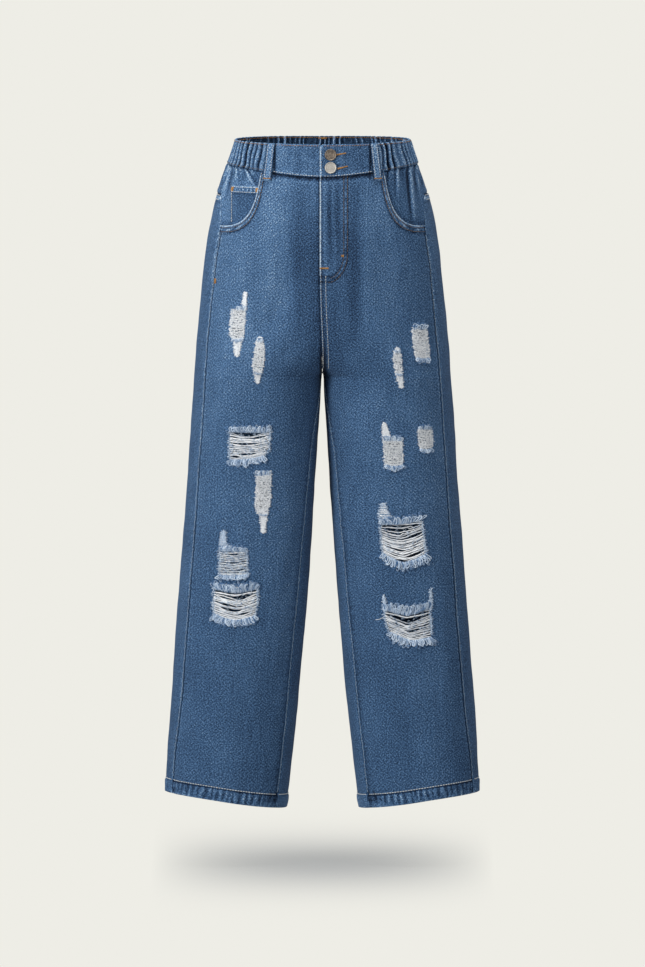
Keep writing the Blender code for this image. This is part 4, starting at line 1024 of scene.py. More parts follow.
def rip_edges(rip, drop):
    """Near and far edge of a rip's white yarns at a drop."""
    rows = np.array(rip["rows"])
    return np.interp(drop, rows[:, 0], rows[:, 1]), np.interp(drop, rows[:, 0], rows[:, 2])


def ragged(drop, seed):
    """Small unevenness of a torn edge."""
    return 0.0006 * np.sin(drop * 900 + seed) + 0.0005 * np.sin(drop * 2300 + 2 * seed)


def hang(rip, share):
    """1 where a rip's yarns hang lowest, 0 at its edges."""
    peak = rip["peak"]
    away = np.where(share < peak, (peak - share) / peak, (share - peak) / (1 - peak))
    return 1 - np.clip(away, 0, 1) ** rip["sharp"]


def sagged(rip, key, share):
    """How far below level an upper edge, yarn or foot lies at a share across a rip."""
    sag, tilt = rip[key]
    return sag * hang(rip, share) + tilt * (share - 0.5)


def cut_rips(side, turn, drop):
    """Moves the columns nearest to each rip's two edges onto them and returns the moved turns
    with the cells that stay."""
    keep = np.ones((turn.shape[0] - 1, turn.shape[1] - 1), bool)
    for seed, rip in enumerate(RIPS.values()):
        if rip["side"] != side:
            continue
        x = x_at(turn, drop)
        near, far = rip_edges(rip, drop)
        near, far = near + ragged(drop, seed) + 0.0006, far + ragged(drop, seed + 5) - 0.0006
        lowest = rip["foot"] + rip["hem"][0] + abs(rip["hem"][1])
        for row in np.flatnonzero((drop[:, 0] > rip["top"] - 0.01) & (drop[:, 0] < lowest)):
            for edge in (near, far):
                column = int(np.argmin(np.abs(x[row] - edge[row])))
                turn[row, column] = turn_at(edge[row, column], drop[row, column])
        x = x_at(turn, drop)
        share = (x - near) / (far - near)
        middle = (share[:-1, :-1] + share[1:, 1:]) / 2
        level = (drop[:-1, :-1] + drop[1:, 1:]) / 2
        across = (middle > 0) & (middle < 1)
        below = level > rip["top"] + sagged(rip, "brow", middle)
        above = level < rip["foot"] + sagged(rip, "hem", middle)
        keep &= ~(across & below & above)
    return turn, keep


def fold_shade_and_washing(side, x, drop):
    """The soft bands of painted fold shade and light with some washing: each a bell across, level at both of
    its ends.
    """
    fade = 0.0
    for row in FOLD_SHADE_AND_WASHING_BANDS:
        band = dict(zip(FOLD_SHADE_AND_WASHING_COLUMNS, row))
        if band["side"] == side:
            span = np.sin(math.pi * np.clip((drop - band["top"]) / (band["foot"] - band["top"]), 0, 1))
            fade = fade + band["fade"] * span * bell(x, band["x"], band["width"])
    return fade


def worn_round_rips(side, x, drop):
    """1 on the cloth inside and just round the rips of a side, which wear has turned pale."""
    worn = 0.0
    for rip in RIPS.values():
        if rip["side"] != side:
            continue
        near, far = rip_edges(rip, drop)
        across = ease((x - near + 0.0016) / 0.0020) * ease((far + 0.0016 - x) / 0.0020)
        down = ease((drop - rip["rows"][0][0] + 0.0010) / 0.0020)
        down = down * ease((rip["rows"][-1][0] + 0.0010 - drop) / 0.0020)
        worn = np.maximum(worn, across * down)
    return worn


def fly_lines(x, drop, lap_gap, fork, above_crotch):
    """Lines of the left front: the pale worn lapped edge, painted shadow in the fork and beside the
    lap, and painted shade in the grooves of the fly's two rows, with painted light and shade on the
    puckers between them.
    """
    gap = fly_gap(x, drop)
    in_fly = (drop < FLY_FOOT_DROP + 0.002) * (x < FLY_FAR + 0.004)
    edge = 1.6 - 1.5 * ease((drop - FLY_FOOT_DROP + 0.02) / 0.01)
    between = 0.6 * np.sin(1500 * drop + 3 * np.sin(500 * drop))
    return [
        (lap_gap, 0, 0.0040, -2.4, fork),
        (lap_gap, 0.0008, 0.0010, edge, above_crotch),
        (lap_gap, 0.0040, 0.0016, -0.6, above_crotch),
        (gap, -0.0020, 0.0011, -1.5, in_fly),
        (gap, -0.0076, 0.0011, -1.3, in_fly),
        (gap, -0.0048, 0.0022, between, in_fly),
    ]


def front_wear_and_shade(side, turn, drop, lift):
    """Tone numbers of a front panel: paler towards the hips and on the outer thigh, and the right
    panel painted paler as light falling from its side; painted light on ridges and painted shade
    in dents, seams, the fork and beside the belt loops; pale worn edges, and worn cloth round the
    rips."""
    radius = radius_at(turn, drop)
    x = section(drop)[0] + radius * np.cos(turn)
    # Paler towards the top; the right panel's larger share is painted light falling from its side
    fade = 0.26 * (1 - ease((drop - 0.06) / 0.30)) * (1.1 if side < 0 else 0.8)
    fade = fade - 0.10 * ease((drop - 0.45) / 0.35) + 0.10 * bell(turn, 1.4, 0.30)
    fade = fade + 0.25 * bell(turn, 0.9, 0.35) * (1 - ease((drop - 0.35) / 0.4))
    above_hem = drop - hem_edge(turn) + HEM_HEIGHT
    on_hem = ease(above_hem / 0.001)
    mouth_gap = (mouth_share(turn, drop) - 1) * MOUTH_SIZE
    on_mouth = (drop < MOUTH_BOTTOM + 0.010) * (mouth_gap < 0.012)
    # Painted light and shade from the relief: raised places lighter, dents darker, more so on the hem and
    # the pocket mouth
    relief = 420 * (lift - cloth_waves(side, turn, drop) - 0.0011 * on_hem)
    fade = fade + 0.8 * np.clip(relief * (1 + 1.6 * on_hem + 0.8 * on_mouth), -1.3, 0.8)
    fade = fade + on_hem * (0.05 + 0.55 * ripple(turn * GIRTH, 0.4 * drop, 0.008, 3))

    outer_gap, inner_gap = (turn - side_seam(drop)) * radius, (inseam(drop) - turn) * radius
    waist_gap, loop_gap = drop - waist_seam(turn), np.abs(x - LOOP_X - 0.001)
    fork_gap = x + side * fly_x(drop)
    on_outer, on_inner, above_crotch = drop > MOUTH_BOTTOM, drop > CROTCH_DROP, drop < CROTCH_DROP
    fork, on_loop = ease((drop - 0.285) / 0.045), waist_gap < 0.012
    angle = mouth_angle(x, drop)
    puckers = 0.8 * np.sin(angle * 78 + np.sin(angle * 17))
    rough = -0.28 * (1 + np.sin(900 * drop + 2 * np.sin(260 * drop)))
    # Painted shade in the dents where the seams cross the hem
    crossing_shade = -2.2 * bell(above_hem, 0.0030, 0.0075)
    # Pale rows are worn edges. Dark rows are painted shade in grooves and seams, beside the belt loops, in
    # the puckers, in the puckered band beside the inseam and at the hem; the row just below the waist seam
    # is painted lighter to offset the band's cast shadow.
    rows = [
        (mouth_gap, 0.0001, 0.0008, 1.5, on_mouth),
        (mouth_gap, 0.0028, 0.0008, -1.5, on_mouth),
        (mouth_gap, 0.0076, 0.0010, -1.5, on_mouth),
        (mouth_gap, 0.0052, 0.0018, puckers, on_mouth),
        (waist_gap, 0, 0.0009, -2.2, 1),
        (waist_gap, 0.0040, 0.0026, 0.5, 1),
        (loop_gap, 0.0066, 0.0012, -1.6, on_loop),
        (outer_gap, 0.0008, 0.0010, 0.9, on_outer),
        (outer_gap, 0.0026, 0.0010, -1.5, on_outer),
        (outer_gap, 0.0054, 0.0014, 0.45, on_outer),
        (inner_gap, 0.0008, 0.0010, 0.7, on_inner),
        (inner_gap, 0.0028, 0.0010, -0.7, on_inner),
        (inner_gap, 0.0066, 0.0026, rough, on_inner),
        (above_hem, 0.0012, 0.0011, -1.0, 1),
        (above_hem, HEM_HEIGHT, 0.0012, 0.7, 1),
        (inner_gap, 0.0010, 0.0012, crossing_shade, 1),
        (inner_gap, 0.0135, 0.0014, crossing_shade, 1),
        (outer_gap, 0, 0.0014, crossing_shade, 1),
    ]
    if side > 0:
        rows += fly_lines(x, drop, fork_gap, fork, above_crotch)
    else:
        # Painted shadow down the fork of the right front
        rows += [(fork_gap, 0, 0.0016, -1.0, above_crotch), (fork_gap, 0, 0.0036, -2.4, fork)]
    return fade + lines(rows) + fold_shade_and_washing(side, x, drop) + 1.5 * worn_round_rips(side, x, drop)


def build_front(side, word):
    """Front panel: rows follow the pocket mouth's curve, then run straight down to the hem."""
    cell, hem_top = 0.0027, HEM_OUTER_DROP - HEM_HEIGHT
    swing = np.linspace(0, math.pi / 2, 34)
    mouth_rows = MOUTH_START_DROP + (MOUTH_BOTTOM - MOUTH_START_DROP) * np.sin(swing) ** 0.8
    legs = np.linspace(MOUTH_BOTTOM, hem_top, int(0.81 / cell))[1:]
    hem_rows = hem_top + HEM_HEIGHT * np.linspace(0, 1, 14)[1:]
    rows = np.concatenate([mouth_rows, legs, hem_rows])[:, None]
    outer = np.where(rows < MOUTH_BOTTOM, mouth_turn(rows), side_seam(rows) + SEAM_TURN)
    inner = np.where(rows < CROTCH_DROP, front_seam(side, rows), inseam(rows) - SEAM_TURN)
    turn = outer + (inner - outer) * spread(0.19, cell)[None, :]
    raise_top = 1 - ease((rows - MOUTH_START_DROP) / 0.05)
    drop = rows + (waist_seam(turn) + SEAM_GAP - MOUTH_START_DROP) * raise_top
    drop = drop + (hem_edge(turn) - HEM_OUTER_DROP) * ease((rows - 0.75) / 0.18)
    turn, keep = cut_rips(side, turn, drop)
    lift = front_lift(side, turn, drop)
    made = cloth(
        f"front_panel_{word}", side, turn, drop, lift, WASHED, [f"front_{word}"],
        keep=keep, fade=front_wear_and_shade(side, turn, drop, lift), grain_x=GRAIN_X,
    )
    declare(made)


def build_back(side, word):
    """Back panel from the inseam round the back to the side seam."""
    hem_top = HEM_OUTER_DROP - HEM_HEIGHT
    legs = np.linspace(YOKE_SIDE_DROP + 0.006, hem_top, 172)[1:]
    hem_rows = hem_top + HEM_HEIGHT * np.linspace(0, 1, 14)[1:]
    rows = np.concatenate([YOKE_SIDE_DROP + SEAM_STEPS, legs, hem_rows])[:, None]
    first = np.where(rows < CROTCH_DROP, back_seam(rows), inseam(rows) + SEAM_TURN)
    last = side_seam(rows) + 2 * math.pi - SEAM_TURN
    turn = first + (last - first) * spread(0.30, 0.0052)[None, :]
    raise_top = 1 - ease((rows - YOKE_SIDE_DROP) / 0.10)
    drop = rows + (yoke_seam(turn) + SEAM_GAP / 2 - YOKE_SIDE_DROP) * raise_top
    drop = drop + (hem_edge(turn) - HEM_OUTER_DROP) * ease((rows - 0.75) / 0.18)
    lift = back_lift(side, turn, drop)
    # Painted light and shade from the relief: raised places lighter, dents darker
    relief = np.clip(300 * (lift - cloth_waves(side, turn, drop)), -0.9, 0.6)
    seat = 0.40 * bell(drop, 0.20, 0.12) * bell(turn, 4.6, 0.6)
    fade = 0.18 - 0.1 * ease((drop - 0.1) / 0.3) - 0.18 * ease((drop - 0.55) / 0.35)
    side_gap = (side_seam(drop) + 2 * math.pi - SEAM_TURN - turn) * radius_at(turn, drop)
    yoke_gap = drop - yoke_seam(turn)
    # The yoke seam's grooves are painted dark as shade; the narrow pale lines are worn edges, and the wide
    # one by the side seam is an uneven pattern
    fade = fade + seat + relief * 0.9 + lines((
        (side_gap, 0, 0.028, 0.30 * ripple(turn * GIRTH, drop, 0.009, 7), 1),
        (side_gap, 0, 0.0012, 0.9, drop > YOKE_SIDE_DROP),
        (yoke_gap, 0.0049, 0.0016, 0.9, 1),
        (yoke_gap, 0, 0.0011, -1.4, 1),
        (yoke_gap, 0.0095, 0.0012, -1.4, 1),
    ))
    made = cloth(
        f"back_panel_{word}", side, turn, drop, lift, WASHED, [f"back_{word}"],
        fade=fade, grain_x=GRAIN_X,
    )
    declare(made)


def build_yoke(side, word):
    """Yoke between the waistband and the back panel, gathered at its top."""
    shares = np.linspace(0, 1, 130)[None, :]
    rows = np.concatenate([[0, 0.02, 0.05], np.linspace(0.09, 0.95, 18), [0.98, 1.0]])[:, None]
    end = -math.pi / 2 + SEAM_TURN
    top_turn = side_seam(BAND_HEIGHT) - SEAM_TURN
    foot_turn = side_seam(YOKE_SIDE_DROP) - SEAM_TURN
    upper, lower = top_turn + (end - top_turn) * shares, foot_turn + (end - foot_turn) * shares
    turn = upper + (lower - upper) * rows
    drop = BAND_HEIGHT + SEAM_GAP + (yoke_seam(lower) - SEAM_GAP / 2 - BAND_HEIGHT) * rows
    lift = yoke_lift(side, turn, drop)
    # Painted shade in the gathers' valleys and painted light on their ridges
    fade = 0.12 + np.clip(600 * (lift - cloth_waves(side, turn, drop)), -1.5, 0.7)
    made = cloth(
        f"yoke_panel_{word}", side, turn, drop, lift, WASHED, [f"yoke_{word}"],
        fade=fade, grain_x=GRAIN_X,
    )
    declare(made)


def build_facing(side, word):
    """Pocket facing, seen in the mouth, and running on behind the front panel."""
    foot = MOUTH_BOTTOM + 0.014
    rows = np.concatenate([[0, 0.01, 0.03], np.linspace(0.05, 1, 46)])[:, None]
    base = BAND_HEIGHT + (foot - BAND_HEIGHT) * rows
    first, last = side_seam(base) + SEAM_TURN, turn_at(MOUTH_X - 0.013, base)
    turn = first + (last - first) * np.linspace(0, 1, 60)[None, :]
    drop = base + (waist_seam(turn) + SEAM_GAP - BAND_HEIGHT) * (1 - rows)
    below = drop - waist_seam(turn)
    # The right facing is painted paler as light falling from its side; painted shade in the creases, the
    # gathers' valleys and under the pocket mouth's edge, with painted light on the ridges; a dark painted
    # line at the waist seam, and the cloth just below it painted lighter to offset the band's cast shadow
    fade = (0.42 if side < 0 else 0.02) + np.clip(900 * creases(side, x_at(turn, drop), drop), -2.6, 1.0)
    fade = fade + np.clip(450 * soft_gathers(turn, below, 0.055, 0.0016), -1.4, 0.6)
    fade = fade - 0.6 * ease((mouth_share(turn, drop) - 0.86) / 0.12)
    fade = fade + lines(((below, 0, 0.0009, -1.6, 1), (below, 0.0036, 0.0026, 0.4, 1)))
    made = cloth(
        f"facing_{word}", side, turn, drop, facing_lift(side)(turn, drop), WASHED,
        [f"pocket_facing_{word}"], fade=fade, grain_x=GRAIN_X,
    )
    declare(made)


def build_coin_pocket():
    """Coin pocket on the right facing: a flat patch with a doubled top edge."""
    inner_x, outer_x, top, foot = 0.078, 0.1345, 0.0690, 0.132
    shares = np.concatenate([[0, 0.02, 0.05], np.linspace(0.09, 0.91, 22), [0.95, 0.98, 1]])[None, :]
    rows = np.concatenate([[0, 0.01, 0.03], np.linspace(0.06, 1, 34)])[:, None]
    x = inner_x + (outer_x - inner_x) * shares + 0 * rows
    drop = top + (foot - top) * rows + 0 * x
    turn = turn_at(x, drop)
    edge = np.minimum(x - inner_x, outer_x - x)
    hem = 0.0006 * (1 - ease((drop - 0.0785) / 0.0012))
    ridges = pucker(drop - 0.0735, x, 0.0065, 0.005, 0.0004)
    lift = -DENIM - SEAM_GAP + hem + ridges + near_seam(edge) * 0.5
    # Painted light on raised places and painted shade in dents, under the doubled top and along the patch's
    # edges, with painted light and shade on the puckers; the pale top edge is worn
    fade = -0.12 + np.clip(900 * (lift + DENIM), -1.2, 0.8)
    fade = fade + lines((
        (drop, 0.0692, 0.0010, 1.0, 1),
        (drop, 0.0792, 0.0010, -0.9, 1),
        (edge, 0, 0.0009, -0.8, 1),
        (drop, 0.0741, 0.0022, 0.9 * np.sin(x * 1100), 1),
    ))
    made = cloth(
        "coin_pocket_patch", -1, turn, drop, lift, WORN, ["coin_pocket"], 0.0012,
        fade=fade,
    )
    declare(made)
    on_pocket = flat_lift(-DENIM - SEAM_GAP + 0.0007)
    across = np.linspace(0.0865, 0.1335, 40)
    for row in (0.0706, 0.0775):
        sew("cream", -1, turn_at(across, row), row + 0 * across, on_pocket)
    down = np.linspace(0.071, 0.124, 40)
    sew("cream", -1, turn_at(0.1328, down), down, on_pocket)
    for end in (0.0950, 0.1315):
        bartack("gold", -1, float(turn_at(end, 0.0735)), 0.0738, 0.0042, 0.0065, on_pocket)


def build_fly_facing():
    """Fly facing behind the left front, seen from inside."""
    rows = np.linspace(0, 1, 40)[:, None]
    top = waist_seam(math.pi / 2) + 0.003
    drop = top + (FLY_FOOT_DROP - top) * rows
    down = np.clip((drop - FLY_BEND_DROP) / (FLY_FOOT_DROP + 0.002 - FLY_BEND_DROP), 0, 1)
    far = FLY_NEAR + (FLY_FAR - FLY_NEAR) * np.sqrt(1 - down * down)
    near = 0.0015 - fly_x(drop)
    x = near + (far - near) * np.linspace(0, 1, 14)[None, :]
    drop = drop + 0 * x
    made = cloth(
        "fly_backing", 1, turn_at(x, drop), drop, -DENIM - SEAM_GAP - 0.0006 + 0 * drop, WORN,
        ["fly_facing"],
    )
    declare(made)


def build_band_front(side, word):
    """Flat front of the waistband; the left one laps to the fly edge with a rounded corner."""
    start = float(front_seam(side, 0.02))
    end = float(turn_at(LOOP_X, 0.02)) + SEAM_TURN
    share = np.concatenate([[0, 0.006, 0.015, 0.03, 0.05], np.linspace(0.07, 1, 56)])[None, :]
    rows = np.concatenate([[0, 0.012, 0.03], np.linspace(0.06, 0.94, 24), [0.97, 0.988, 1.0]])[:, None]
    turn = start + (end - start) * share + 0 * rows
    end_gap = (start - turn) * BAND_RADIUS
    top, foot = band_top(turn), waist_seam(turn)
    if side > 0:
        top = top + BAND_CORNER * (1 - np.sqrt(1 - (1 - np.clip(end_gap / BAND_CORNER, 0, 1)) ** 2))
    drop = top + (foot - top) * rows
    gap_up, gap_down = drop - top, foot - drop
    lift = BAND_RISE + cloth_waves(side, turn, drop) + 0.0004 * ripple(turn * 0.1, drop, 0.018, 3)
    lift = lift - 0.0009 * bell(gap_up, 0, 0.0010) - 0.0010 * bell(gap_down, 0, 0.0009)
    lift = lift + pucker(gap_down - 0.002, turn * 0.1, 0.010, 0.005, 0.0004)
    if side > 0:
        lift = lift - 0.0009 * bell(end_gap, 0, 0.0009) + 0.0005 * bell(end_gap, 0, 0.006)
    else:
        lift = lift - 0.0006 * bell(end_gap, 0, 0.002)
    # The right band is painted paler as light falling from its side; painted light and shade from the
    # relief; painted shade along the seam at its foot and beside the belt loops; the pale top edge and fly
    # edge are worn
    fade = (0.36 if side < 0 else -0.02) + np.clip(420 * (lift - BAND_RISE), -0.8, 0.5) * 0.8
    loop_gap = np.abs(radius_at(turn, drop) * np.cos(turn) - LOOP_X - 0.001)
    fade = fade + lines((
        (gap_up, 0, 0.0012, 0.45, 1),
        (gap_down, 0, 0.0010, -1.5, 1),
        (gap_down, 0.0035, 0.0012, 0.3, 1),
        (loop_gap, 0.0066, 0.0012, -2.0, 1),
        (end_gap, 0.0006, 0.0011, 2.0, side > 0),
    ))
    made = cloth(
        f"band_front_{word}", side, turn, drop, lift, WASHED,
        [f"waistband_front_{word}"], BAND_THICK, fade=fade,
    )
    declare(made)
    on_band = flat_lift(BAND_RISE + 0.0001)
    line = np.linspace(start - (0.06 if side > 0 else 0.004), end, 160)
    sew("gold", side, line, band_top(line) + STITCH_INSET, on_band)
    sew("cream", side, line, waist_seam(line) - STITCH_INSET, on_band)
    if side > 0:
        down = np.linspace(0.010, float(waist_seam(start)) - 0.001, 40)
        sew("cream", side, turn_at(-fly_x(down) + STITCH_INSET, down), down, on_band)


def build_band_elastic():
    """Elastic waistband from loop to loop round the back, in deep uneven gathers that are drawn
    in along its two rows of stitching, and flatter beside the pocket mouths."""
    start = float(turn_at(LOOP_X, 0.02)) - SEAM_TURN
    rows = np.concatenate([[0, 0.015, 0.04], np.linspace(0.08, 0.92, 16), [0.96, 0.985, 1.0]])[:, None]
    turn = np.linspace(start, -math.pi - start, 690)[None, :] + 0 * rows
    own = np.where(turn < -math.pi / 2, -math.pi - turn, turn)
    top, foot = band_top(own), waist_seam(own)
    drop = top + (foot - top) * rows
    wander = 0.010 * np.sin(drop * 130 + 3 * np.sin(turn * 5)) + 0.006 * np.sin(drop * 60 + turn * 9)
    tame = 1 - 0.45 * bell(rows, 0, 0.06) - 0.45 * bell(1 - rows, 0, 0.05)
    tame = tame * (1 - 0.85 * bell(1 - rows, 0, 0.10) * ease((own - MOUTH_START_TURN + 0.06) / 0.06))
    deep = gather_wave(turn + wander * ease(rows * 6) * ease((1 - rows) * 6), 0.0042) * tame
    lift = BAND_RISE + 0.0003 + deep - 0.0008 * bell(rows, 0, 0.02) - 0.0007 * bell(1 - rows, 0, 0.03)
    # Painted shade in the gathers' valleys and painted light on their ridges; the top edge paler and the
    # foot painted darker as shade
    fade = 0.15 + np.clip(880 * (deep + 0.0006), -2.8, 0.80)
    fade = fade + 0.5 * bell(rows, 0, 0.03) - 0.5 * bell(1 - rows, 0, 0.02)
    # The inside face is painted lighter on the gathers' inner ridges and darker elsewhere, standing in for
    # light and shade
    lining = -0.35 + 1.35 * np.clip(-(deep + 0.0006) / 0.0020, 0, 1)
    made = cloth(
        "elastic_waistband", 1, turn, drop, lift, WASHED, ["waistband_elastic"],
        BAND_THICK, fade=fade, lining=lining,
    )
    declare(made)

    def on_band(turn, drop):
        return BAND_RISE + 0.0003 + 0.55 * gather_wave(turn, 0.0042)

    def in_band(turn, drop):
        return on_band(turn, drop) - BAND_THICK - 0.0012

    line = np.linspace(start - 0.01, -math.pi - start + 0.01, 3200)
    own = np.where(line < -math.pi / 2, -math.pi - line, line)
    sew("gold", 1, line, band_top(own) + STITCH_INSET, on_band)
    sew("brown", 1, line, waist_seam(own) - STITCH_INSET, on_band)
    for thread, inset in (("gold", 0.0016), ("cream", 0.012), ("cream", 0.022)):
        sew(thread, 1, line, band_top(own) + inset, in_band, 0.0024, -STITCH_RADIUS)


def build_loop(name, node, side, middle, on_gathers):
    """Belt loop: a doubled strip standing off the band between its two tacked ends."""
    foot = float(waist_seam(middle))
    top = float(band_top(middle)) + (0.0035 if on_gathers else 0.0004)
    end = foot + 0.012
    stops = np.concatenate([[top], foot * LOOP_STOPS, foot + np.array([0, 0.004, 0.008, 0.012])])
    heights = BAND_RISE + (0.0019 if on_gathers else 0.0003) + SEAM_GAP + LOOP_HEIGHTS
    heights[-2:] = (0.0011 if on_gathers else 0.0002) + SEAM_GAP + 0.0006
    edge = np.array([0, 0.0004, 0.001])
    rows = [top + edge, np.linspace(top + 0.002, end - 0.002, 40), end - edge[::-1]]
    share = np.array([-1, -0.94, -0.84, -0.7, -0.5, -0.25, 0, 0.25, 0.5, 0.7, 0.84, 0.94, 1])[None, :]
    drop = np.concatenate(rows)[:, None] + 0 * share
    half = LOOP_HALF / float(np.linalg.norm(bare_skin(middle, 0.03)[:2]))
    turn = middle - half * share + 0 * drop

    def on_loop(turn, drop):
        return np.interp(drop, stops, heights) + 0.0016

    crown = 0.0003 * (1 - share**4) - 0.0005 * bell(np.abs(share), 0.62, 0.10)
    lift = on_loop(turn, drop) - 0.0001 + crown + pucker(0 * drop, drop, 0.0055, 1.0, 0.00018)
    lift = lift + 0.0006 * bell(drop, end - 0.004, 0.0022)
    # Pale strips near both edges, a dark outline of painted shade at the edges, and painted light and shade
    # from the crown
    fade = 0.30 + 0.35 * bell(np.abs(share), 0.80, 0.07) - 2.2 * bell(np.abs(share), 1, 0.12)
    fade = fade + np.clip(1100 * crown, -0.8, 0.4) + 0 * drop
    made = cloth(name, side, turn, drop, lift, WORN, [node], 0.0015, fade=fade)
    declare(made)
    down = np.linspace(top + 0.001, end - 0.001, 60)
    for way in (-0.62, 0.62):
        sew("cream", side, middle - half * way + 0 * down, down, on_loop, 0.0026)
    bartack("gold", side, middle, end - 0.0030, 0.0096, 0.0016, on_loop)


def build_back_pocket(side, word):
    """Patch pocket on the seat: a pointed patch with a doubled top and two rows of stitching."""
    top, height, point = 0.142, 0.132, 0.018
    half_top, half_foot, middle = 0.067, 0.058, 0.083
    share = np.concatenate([[-1, -0.985, -0.96], np.linspace(-0.92, 0.92, 50), [0.96, 0.985, 1]])[None, :]
    rows = np.concatenate([[0, 0.006, 0.02], np.linspace(0.04, 0.97, 48), [0.985, 0.995, 1]])[:, None]
    half = half_top + (half_foot - half_top) * rows
    x = middle + half * share
    drop = top + (height - point * np.abs(share)) * rows
    turn = turn_at(x, drop, front=False)
    gap = np.minimum(half * (1 - np.abs(share)), np.minimum(drop - top, (1 - rows) * height))
    roll = -0.0007 * bell(gap, 0, 0.0012) - 0.0006 * bell(gap, 0.008, 0.0012)
    hem = 0.0006 * (1 - ease((drop - top - 0.016) / 0.002))
    wave = 0.0004 * ripple(x, drop, 0.03, 5 + side)
    lift = SEAM_GAP + 0.0014 + roll + hem + wave + pucker(gap - 0.005, x + drop, 0.009, 0.004, 0.0003)
    back = back_lift(side, turn, drop)
    lift = np.maximum(lift + 0.7 * back, back + 0.0005)
    # Pale worn edges, and painted light and shade from the rolled edges and the doubled top
    fade = 0.18 + 0.35 * bell(gap, 0, 0.0016) + np.clip(500 * (roll + hem), -0.6, 0.4)
    made = cloth(
        f"back_pocket_patch_{word}", side, turn, drop, lift, WASHED,
        [f"back_pocket_{word}"], 0.0014, fade=fade,
    )
    declare(made)

    def on_pocket(turn, drop):
        return SEAM_GAP + 0.0016 + 0.7 * back_lift(side, turn, drop)

    def sew_line(x, drop):
        sew("cream", side, turn_at(x, drop, front=False), drop, on_pocket)

    down, across = np.linspace(0, 1, 60), np.linspace(1, 0, 40)
    for inset in (0.0018, 0.0080):
        width = half_top + (half_foot - half_top) * down - inset
        edge = top + (height - point) * down * (1 - inset / height)
        for way in (-1, 1):
            sew_line(middle + way * width, edge)
            sew_line(middle + way * (half_foot - inset) * across, top + height - inset - point * across)
    for row in (0.0022, 0.0150):
        share = np.linspace(-1, 1, 80)
        sew_line(middle + (half_top - 0.002) * share, top + row + 0 * share)
    for way in (-1, 1):
        at = float(turn_at(middle + way * (half_top - 0.004), top + 0.006, front=False))
        bartack("gold", side, at, top + 0.007, 0.0022, 0.009, on_pocket)


def sew_mouth(side, gap):
    """A row of stitching round a pocket mouth at a distance from its edge."""
    angle = np.linspace(0.003, math.pi / 2 - 0.003, 160)
    share, power = 1 + gap / MOUTH_SIZE, 2 / MOUTH_SQUARENESS
    turn = MOUTH_END_TURN + (MOUTH_START_TURN - MOUTH_END_TURN) * share * np.cos(angle) ** power
    drop = MOUTH_START_DROP + (MOUTH_BOTTOM - MOUTH_START_DROP) * share * np.sin(angle) ** power
    inside = turn > side_seam(drop) + SEAM_TURN + 0.01
    sew("brown", side, turn[inside], drop[inside], partial(front_lift, side), radius=0.0005)


def sew_fly(inset):
    """A row of stitching down the fly's J."""
    left = partial(front_lift, 1)
    down = np.linspace(0.052, FLY_BEND_DROP, 80)
    sew("brown", 1, turn_at(FLY_FAR - inset, down), down, left)
    angle = np.linspace(0, math.pi / 2 - 0.06, 60)
    x = FLY_NEAR + (FLY_FAR - FLY_NEAR - inset) * np.cos(angle)
    drop = FLY_BEND_DROP + (FLY_FOOT_DROP - FLY_BEND_DROP - inset) * np.sin(angle)
    sew("brown", 1, turn_at(x, drop), drop, left)


def sew_seams():
    """Topstitching along every seam of the legs, the pocket mouths, the fly and the hems."""
    for side in (1, -1):
        front, back = partial(front_lift, side), partial(back_lift, side)
        down = np.linspace(MOUTH_BOTTOM + 0.012, HEM_OUTER_DROP - HEM_HEIGHT - 0.001, 420)
        outer = side_seam(down) + SEAM_TURN + FELL_TURN
        sew("pale", side, outer, down, front, radius=SEAM_STITCH_RADIUS)
        down = np.linspace(CROTCH_DROP + 0.012, HEM_INNER_DROP - HEM_HEIGHT - 0.004, 320)
        inner = inseam(down) - SEAM_TURN - FELL_TURN
        sew("pale", side, inner, down, front, radius=SEAM_STITCH_RADIUS)
        for gap in (0.0026, 0.0074):
            sew_mouth(side, gap)
        first, last = float(side_seam(0.93)) + 0.01, float(inseam(0.95)) - 0.01
        round_front = np.linspace(first, last, 200)
        round_back = np.linspace(last + 0.03, first + 2 * math.pi - 0.03, 400)
        for line, lift in ((round_front, front), (round_back, back)):
            drop = hem_edge(line) - HEM_HEIGHT - 0.0006
            sew("cream", side, line, drop, lift, radius=HEM_STITCH_RADIUS)
        yoke = np.linspace(side_seam(YOKE_SIDE_DROP) - 0.02, -math.pi / 2 + 0.02, 240)
        seat = np.linspace(YOKE_CENTRE_DROP + 0.004, CROTCH_DROP - 0.012, 120)
        for gap in (0.0018, 0.0080):
            sew("cream", side, yoke + 2 * math.pi, yoke_seam(yoke) + gap, back, radius=HEM_STITCH_RADIUS)
            if side > 0:
                sew("cream", side, turn_at(gap, seat, front=False), seat, back)
    for inset in (0.0022, 0.0076):
        sew_fly(inset)
    left, right = partial(front_lift, 1), partial(front_lift, -1)
    for start, count, gap in ((0.052, 240, 0.0016), (0.196, 140, 0.0088)):
        down = np.linspace(start, CROTCH_DROP - 0.012, count)
        sew("cream", 1, turn_at(gap - fly_x(down), down), down, left)
    bartack("gold", 1, float(turn_at(0.0025, 0.184)), 0.186, 0.0120, 0.0022, left)
    bartack("gold", 1, float(turn_at(0.0290, 0.168)), 0.168, 0.0030, 0.0030, left)
    bartack("gold", -1, float(side_seam(0.208)) + 0.035, 0.208, 0.0030, 0.0075, right)
    behind, top = -math.pi / 2, float(band_top(-math.pi / 2)) + STITCH_INSET
    bartack("gold", 1, behind, top, 0.0110, 0.0024, flat_lift(BAND_RISE - BAND_THICK - 0.0035))


